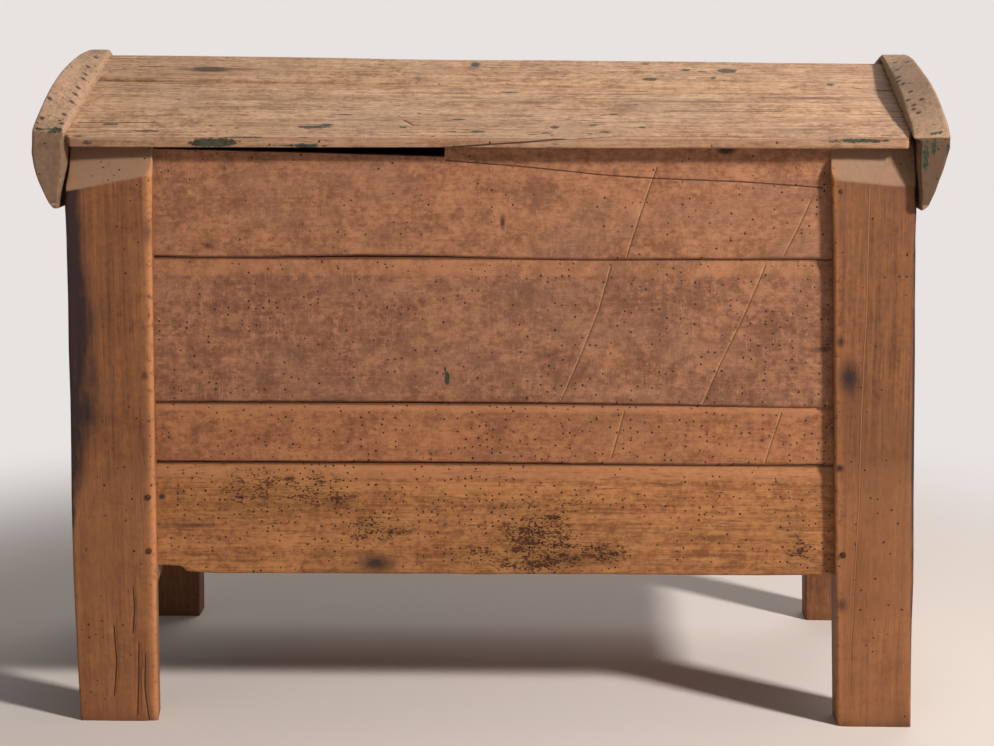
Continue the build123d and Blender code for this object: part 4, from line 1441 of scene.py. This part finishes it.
@dataclass(frozen=True)
class Cleat:
    """A cleat at the lid's end with a bowed top and an ear hanging beside each post.

    It is worked out as the right cleat, in millimetres from the chest's middle. Its top is
    crest high, hewn down inside by inner_fall, and stands over the boards by lip at each
    distance from the middle. ear_thickness and upper give its thickness at each height, and
    ear_inner how far its inner side stands off the post there.
    """

    node: str
    left: bool
    seed: int
    crest: float
    inner_fall: float
    lip: Path
    upper: Path
    end_darkening: float
    paints: tuple[Spot, ...] = ()
    front_paints: tuple[Spot, ...] = ()
    nail_marks: tuple[tuple[float, float], ...] = ()
    step: float = 2.8
    radius: float = 3.6
    half: float = 315.0
    tip: float = 761.0
    bow_radius: float = 529.0
    ear: float = 82.0
    arch: float = 43.0
    ear_radius: float = 14.0
    corner_radius: float = 7.0
    ear_thickness: Path = ((755.0, 8.0), (761.0, 9.0), (768.0, 15.5), (789.0, 25.0), (822.0, 35.5),
                           (850.0, 43.0), (872.0, 43.0))
    ear_inner: Path = ((755.0, 8.0), (771.0, 4.5), (785.0, 4.0), (800.0, 2.0), (820.0, 0.0))

    def top_at(self, y: Array, share: Array) -> Array:
        """Height of the cleat's top, a twisted face rounded off at both ends.

        Formula: the outer arris is a circle's arc, and the inner one is hewn down from it
        towards the straight chord between crest and eave; share goes from 0 inside to 1.
        """
        arc = self.crest - (self.bow_radius - np.sqrt(self.bow_radius**2 - y**2))
        drop = self.bow_radius - math.sqrt(self.bow_radius**2 - self.half**2)
        chord = self.crest - drop * np.abs(y) / self.half
        top = arc - (arc - chord) * self.inner_fall * (1 - share)
        past = np.clip(np.abs(y) - (self.half - self.corner_radius), 0, self.corner_radius)
        return top - (self.corner_radius - np.sqrt(self.corner_radius**2 - past**2))

    def foot_at(self, y: Array) -> Array:
        """Height of the cleat's lower edge: an arch between the ears, whose tips are round."""
        arch_half = self.half - self.ear
        arc = (arch_half**2 + self.arch**2) / (2 * self.arch)
        inside = np.clip(np.abs(y), 0, arch_half)
        arched = self.tip + self.arch - (arc - np.sqrt(arc**2 - inside**2))
        past = np.clip(np.abs(y) - (self.half - self.ear_radius), 0, self.ear_radius)
        return arched + (self.ear_radius - np.sqrt(self.ear_radius**2 - past**2))

    def build(self, finish: bpy.types.Material) -> bpy.types.Object:
        """Builds the cleat at its end of the lid."""
        points, faces, fields = self._surface()
        if self.left:
            points, faces = flip_x(points, faces)
        return make_piece(self.node + "_hewn", points, faces, fields, finish, "lid", self.node)

    def _surface(self) -> tuple[Array, Array, dict[str, Array]]:
        """The right cleat.

        Formula: a rounded block in (w, y, c), with w outwards and c up; c is spread from the
        lower edge to the top at each y, w is scaled by the thickness at that height, and the
        inner face steps over the boards by the lip.

        Returns:
            Vertices, faces and fields.
        """
        wide, tall = 43.0, 130.0
        ws = lines(0, wide, 3.0, arris_lines(0, wide, self.radius))
        ys = lines(-self.half, self.half, self.step,
                   arris_lines(-self.half, self.half, self.radius))
        cs = lines(0, tall, self.step, arris_lines(0, tall, self.radius))
        points, faces = block_skin(ws, ys, cs)
        w0, y0, c0 = points.T.copy()
        low, high = np.array([0, -self.half, 0]), np.array([wide, self.half, tall])
        w, y, c = round_arrises(points, low, high, self.radius).T
        share = w / wide
        foot, top = self.foot_at(y), self.top_at(y, share)
        z = foot + (top - foot) * c / tall
        x = SIZES.cleat_inner + w * along_path(self.ear_thickness + self.upper, z) / wide
        boards = SIZES.ridge_underside - np.abs(y) * math.tan(SIZES.slope) + 15.0
        near_top, near_in = np.exp(-(top - z) / 8.0), np.exp(-w / 7.0)
        x = x + along_path(self.ear_inner, z) * (1 - share)
        x = x - along_path(self.lip, np.abs(y)) * (1 - share) * ramp(z - boards, -2.0, 2.5)
        gnawed = np.clip(rolling(y, z * 0, 14.0, 1.0, self.seed + 5), -0.3, 1) * 1.2
        gnawed = gnawed + 1.4 * rolling(y, z * 0, 46.0, 1.0, self.seed + 6)
        x = x + near_top * near_in * (1.4 + gnawed)
        z = z - near_top * (0.5 + 0.7 * rolling(y, x, 60.0, 26.0, self.seed)
                            + 0.25 * rolling(y, x, 12.0, 8.0, self.seed + 1))
        x = x + riven(y, z, self.seed + 2) * share * 0.8 - 0.7 * share
        front = np.exp(-(self.half - np.abs(y)) / 5.0)
        y = y - np.sign(y) * front * (0.5 + 0.6 * rolling(x, z, 16.0, 26.0, self.seed + 3))

        fields = no_marks(len(w))
        on_top, on_front = c0 > tall - SAME_PLACE, y0 < -self.half + 1
        fields["paint"] = np.where(on_front, spots_field(self.front_paints, x, z), 0.0)
        fields["paint"] = np.maximum(fields["paint"], spots_field(self.paints, x, y) * on_top)
        fields["worm"] = np.where(on_top, 0.10, 0.08)
        marks = tuple(Spot(mark_x, -s, 2.9, 2.9, 1.4) for mark_x, s in self.nail_marks)
        fields["stain"] = spots_field(marks, x, y / math.cos(SIZES.slope)) * on_top
        fields["wear_and_highlight"] = np.clip(near_top * np.exp(-w / 6.0), 0, 1) * 0.6
        # The end faces and the outer face are painted darker; the inner face, where it meets the
        # boards and hangs beside the post, carries painted shade.
        fields["grime_and_shade"] = np.where(np.abs(y0) > self.half - 1, self.end_darkening, 0.0)
        crevice = ramp(boards - z, -3.0, 2.0) * (w0 < SAME_PLACE)
        fields["grime_and_shade"] += 0.35 * (w0 > wide - SAME_PLACE) + 0.5 * crevice
        return np.stack([x, y, z], axis=1), faces, fields


CLEATS = (
    Cleat("left_cleat", True, 191, crest=977.5, inner_fall=1.0,
          lip=((0, 8.5), (150, 7.0), (300, 3.0)),
          upper=((883.0, 42.0), (924.0, 37.0), (948.0, 33.0), (964.0, 29.0), (978.0, 25.0)),
          ear_thickness=((755.0, 17.0), (762.0, 19.0), (768.0, 22.5), (777.0, 27.0), (788.0, 32.0),
                         (799.0, 36.5), (809.0, 39.5), (820.0, 42.0), (841.0, 45.0),
                         (860.0, 44.0)),
          ear_inner=((755.0, 13.0), (771.0, 11.0), (785.0, 8.5), (799.0, 5.5), (822.0, 1.0),
                     (841.0, 0.0)),
          end_darkening=0.55,
          paints=(Spot(611, -311, 14, 3.0, 0.85), Spot(632, -312, 10, 2.4, 0.75)),
          front_paints=(Spot(612, 869, 10, 2.0, 0.7), Spot(630, 868, 10, 1.8, 0.65)),
          nail_marks=((606, 50), (608, 100), (606, 132), (605, 150), (606, 186), (605, 210),
                      (605, 236), (607, 280), (605, 310), (632, 258), (633, 306))),
    Cleat("right_cleat", False, 211, crest=970.5, inner_fall=0.6, lip=((0, 11.5), (320, 10.5)),
          upper=((880.0, 43.0), (915.0, 39.0), (940.0, 34.0), (958.0, 30.0), (972.0, 31.0)),
          end_darkening=0.9,
          paints=(Spot(622, -309, 22, 5, 0.65), Spot(598, -300, 6, 10, 0.65)),
          front_paints=(Spot(609, 836, 4, 24, 1.0), Spot(620, 850, 4, 15, 0.9),
                        Spot(616, 866, 18, 2.4, 0.8), Spot(640, 846, 3.5, 16, 0.8),
                        Spot(601, 850, 2.5, 24, 0.55)),
          nail_marks=((603, 62), (619, 78), (600, 102), (597, 136), (595, 152), (599, 168),
                      (605, 202), (598, 226), (615, 236), (601, 258), (606, 270), (603, 246))),
)


def cleat_peg_rods(cleat: Cleat) -> tuple[Rod, ...]:
    """The ten pegs of a cleat, square to the slopes, with their heads flush with its top.

    Formula: the length above the boards' underside is found by repeating that it ends on
    the bowed top above the place where it has got to.
    """
    cos, sin = math.cos(SIZES.slope), math.sin(SIZES.slope)
    slope_length = SIZES.lid_half_depth / cos
    last, first = 42.0, slope_length - 34.0
    sx = -1 if cleat.left else 1
    x = sx * (SIZES.cleat_inner + 10.0)
    rods = []
    for number in range(5):
        s = last + (first - last) * number / 4
        y0, z0 = s * cos, SIZES.ridge_underside - s * sin
        reach = 30.0
        for _ in range(8):
            reach = float(cleat.top_at(np.array(y0 + reach * sin), np.array(0.28)) - z0) / cos
        reach -= 0.5
        for sy in (-1, 1):
            tail = (x, sy * (y0 - 13 * sin), z0 - 13 * cos)
            head = (x, sy * (y0 + reach * sin), z0 + reach * cos)
            rods.append(Rod(tail, head, 3.5, 0.12, number * 2 + sy + 40))
    return tuple(rods)


# The floor inside


@dataclass(frozen=True)
class FloorBoard:
    """A board of the chest's floor, hewn and left dry."""

    node: str
    seed: int

    def build(self, finish: bpy.types.Material) -> bpy.types.Object:
        """Builds the board inside its node's box.

        Formula: a rounded block the size of the node, whose two faces are riven along Y.
        """
        low, high = (np.array(corner) * 1000 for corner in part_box(self.node))
        low[0] = max(low[0], -560.0)
        high[0] = min(high[0], 560.0)
        low[0] += 8.4 if self.node != "floor_board_1" else 0.0
        xs = lines(low[0], high[0], 6.0, arris_lines(low[0], high[0], 2.0))
        ys = lines(low[1] + 9.0, high[1] - 9.0, 7.0)
        zs = lines(low[2], high[2], 6.0, arris_lines(low[2], high[2], 2.0))
        points, faces = block_skin(xs, ys, zs)
        low[1], high[1] = ys[0], ys[-1]
        up = (points[:, 2] - low[2]) / (high[2] - low[2])
        points = round_arrises(points, low, high, 2.0)
        x, y = points[:, 0], points[:, 1]
        lower_face = riven(y, x, self.seed + 5) * (1 - up)
        points[:, 2] += riven(y, x, self.seed) * up + lower_face - 0.4 * up
        fields = no_marks(len(points))
        fields["inside"] = 0.4 + 0.4 * rolling(x, y, 90.0, 140.0, self.seed)
        fields["worm"] = np.full(len(points), 0.12)
        return make_piece(self.node + "_plank", points, faces, fields, finish, "chest", self.node)


# The studio


@dataclass(frozen=True)
class Studio:
    """A plain pale floor, a low key lamp from the right, a soft fill and the camera."""

    floor_colour: str = "#e0d8d3"
    back_colour: str = "#e8e3e1"
    fade: tuple[float, float] = (0.85, 2.1)
    camera_place: tuple[float, float, float] = (0.0814, -3.2711, 1.0546)
    look_left: float = math.radians(1.3693)
    look_down: float = math.radians(10.0797)
    focal_px: float = 2107.1
    image_width: int = 994
    sensor: float = 36.0

    def build(self) -> None:
        """Sets up the floor, the lamps, the world and the camera."""
        self._floor()
        self._world()
        self._lamp("key", azimuth=54.0, elevation=27.0, distance=6.0, size=0.6, power=470.0,
                   colour="#fff8f1", aim=(0.0, 0.0, 0.45))
        self._lamp("fill", azimuth=-38.0, elevation=32.0, distance=5.0, size=4.0, power=16.0,
                   colour="#f3f5fa", aim=(0.0, 0.0, 0.4))
        self._lamp("back", azimuth=160.0, elevation=48.0, distance=5.0, size=3.5, power=75.0,
                   colour="#fffaf4", aim=(0.0, 0.0, 0.5))
        self._camera()
        scene = bpy.context.scene
        scene.view_settings.view_transform = "Standard"

    def _seen(self, tree: bpy.types.NodeTree) -> Socket:
        """1 for a ray that the camera sees straight, in a reflection or through glass."""
        path = add_node(tree, "LightPath")
        seen = path.outputs["Is Camera Ray"]
        for name in ("Is Glossy Ray", "Is Transmission Ray"):
            both = {0: seen, 1: path.outputs[name]}
            seen = add_node(tree, "Math", both, operation="MAXIMUM").outputs[0]
        return seen

    def _floor(self) -> None:
        """A wide floor of pale screed that fades into the background away from the chest."""
        side = 80.0
        mesh = bpy.data.meshes.new("floor")
        corners = [(-side, -side, 0), (side, -side, 0), (side, side, 0), (-side, side, 0)]
        mesh.from_pydata(corners, [], [(0, 1, 2, 3)])
        material = bpy.data.materials.new("pale_screed_floor")
        material.use_nodes = True
        tree = material.node_tree
        tree.nodes.clear()
        shader = add_node(tree, "BsdfPrincipled", {
            "Base Color": linear(self.floor_colour), "Roughness": 0.8})
        place = add_node(tree, "TexCoord").outputs["Object"]
        away = add_node(tree, "VectorMath", {0: place}, operation="LENGTH").outputs["Value"]
        far = add_node(tree, "MapRange", {
            "Value": away, "From Min": self.fade[0], "From Max": self.fade[1]},
            interpolation_type="SMOOTHERSTEP").outputs[0]
        both = {0: far, 1: self._seen(tree)}
        share = add_node(tree, "Math", both, operation="MULTIPLY").outputs[0]
        glow = add_node(tree, "Emission", {"Color": linear(self.back_colour), "Strength": 1.0})
        mix = add_node(tree, "MixShader", {0: share, 1: shader.outputs[0], 2: glow.outputs[0]})
        add_node(tree, "OutputMaterial", {"Surface": mix.outputs[0]})
        mesh.materials.append(material)
        floor = bpy.data.objects.new("floor", mesh)
        bpy.context.scene.collection.objects.link(floor)

    def _world(self) -> None:
        """Pale where it is seen, and a lower, even light on the object."""
        world = bpy.data.worlds.new("studio")
        bpy.context.scene.world = world
        world.use_nodes = True
        tree = world.node_tree
        tree.nodes.clear()
        shown = add_node(tree, "Background", {"Color": linear(self.back_colour), "Strength": 1.0})
        light = add_node(tree, "Background", {"Color": linear("#f4f1ee"), "Strength": 0.06})
        mix = add_node(tree, "MixShader", {
            0: self._seen(tree), 1: light.outputs[0], 2: shown.outputs[0]})
        add_node(tree, "OutputWorld", {"Surface": mix.outputs[0]})

    def _lamp(self, name: str, azimuth: float, elevation: float, distance: float, size: float,
              power: float, colour: str, aim: tuple[float, float, float]) -> None:
        """One square lamp, its azimuth in degrees to the right of the chest's front."""
        a, e = math.radians(azimuth), math.radians(elevation)
        away = Vector((math.sin(a) * math.cos(e), -math.cos(a) * math.cos(e), math.sin(e)))
        data = bpy.data.lights.new(name, "AREA")
        data.shape, data.size, data.energy = "SQUARE", size, power
        data.color = linear(colour)[:3]
        lamp = bpy.data.objects.new(name, data)
        lamp.location = Vector(aim) + away * distance
        lamp.rotation_euler = away.to_track_quat("Z", "Y").to_euler()
        bpy.context.scene.collection.objects.link(lamp)

    def _camera(self) -> None:
        """The camera at the photograph's place, found from measured points."""
        data = bpy.data.cameras.new("camera")
        data.sensor_width = self.sensor
        data.lens = self.sensor * self.focal_px / self.image_width
        camera = bpy.data.objects.new("camera", data)
        camera.location = self.camera_place
        camera.rotation_euler = Euler((math.pi / 2 - self.look_down, 0.0, self.look_left))
        bpy.context.scene.collection.objects.link(camera)
        bpy.context.scene.camera = camera


def main() -> None:
    """Builds the studio and every piece."""
    logging.basicConfig(level=logging.INFO, format="%(name)s %(message)s")
    Studio().build()
    walls = {name: oak.build() for name, oak in FRONT_OAKS.items()}
    plain, end, post = WALL_OAK.build(), END_OAK.build(), POST_OAK.build()
    lid, cleat, floor, peg = LID_OAK.build(), CLEAT_OAK.build(), FLOOR_OAK.build(), PEG_OAK.build()
    for board in FRONT_BOARDS:
        board.build(walls[board.node])
    for board in plain_boards("back", Side.BACK, (401.0, 548.0, 703.0), 301):
        board.build(plain)
    for board in plain_boards("left_end", Side.LEFT, (432.0, 641.0), 401) + plain_boards(
            "right_end", Side.RIGHT, (419.0, 652.0), 501):
        board.build(end)
    for corner in POSTS:
        corner.build(post)
        name = corner.node + "_pegs"
        RodSet(name, "chest", post_peg_rods(corner)).build(peg)
    for number in range(1, 6):
        FloorBoard(f"floor_board_{number}", 600 + number).build(floor)
    FRONT_SLOPE.build(lid)
    BACK_SLOPE.build(lid)
    RidgeBoard().build(lid)
    for item in CLEATS:
        item.build(cleat)
        RodSet(item.node + "_pegs", "lid", cleat_peg_rods(item)).build(peg)
    for name, sx in (("left_hinge_pin", -1), ("right_hinge_pin", 1)):
        RodSet(name, "chest", (hinge_pin(sx),)).build(peg)


if __name__ == "__main__":
    main()
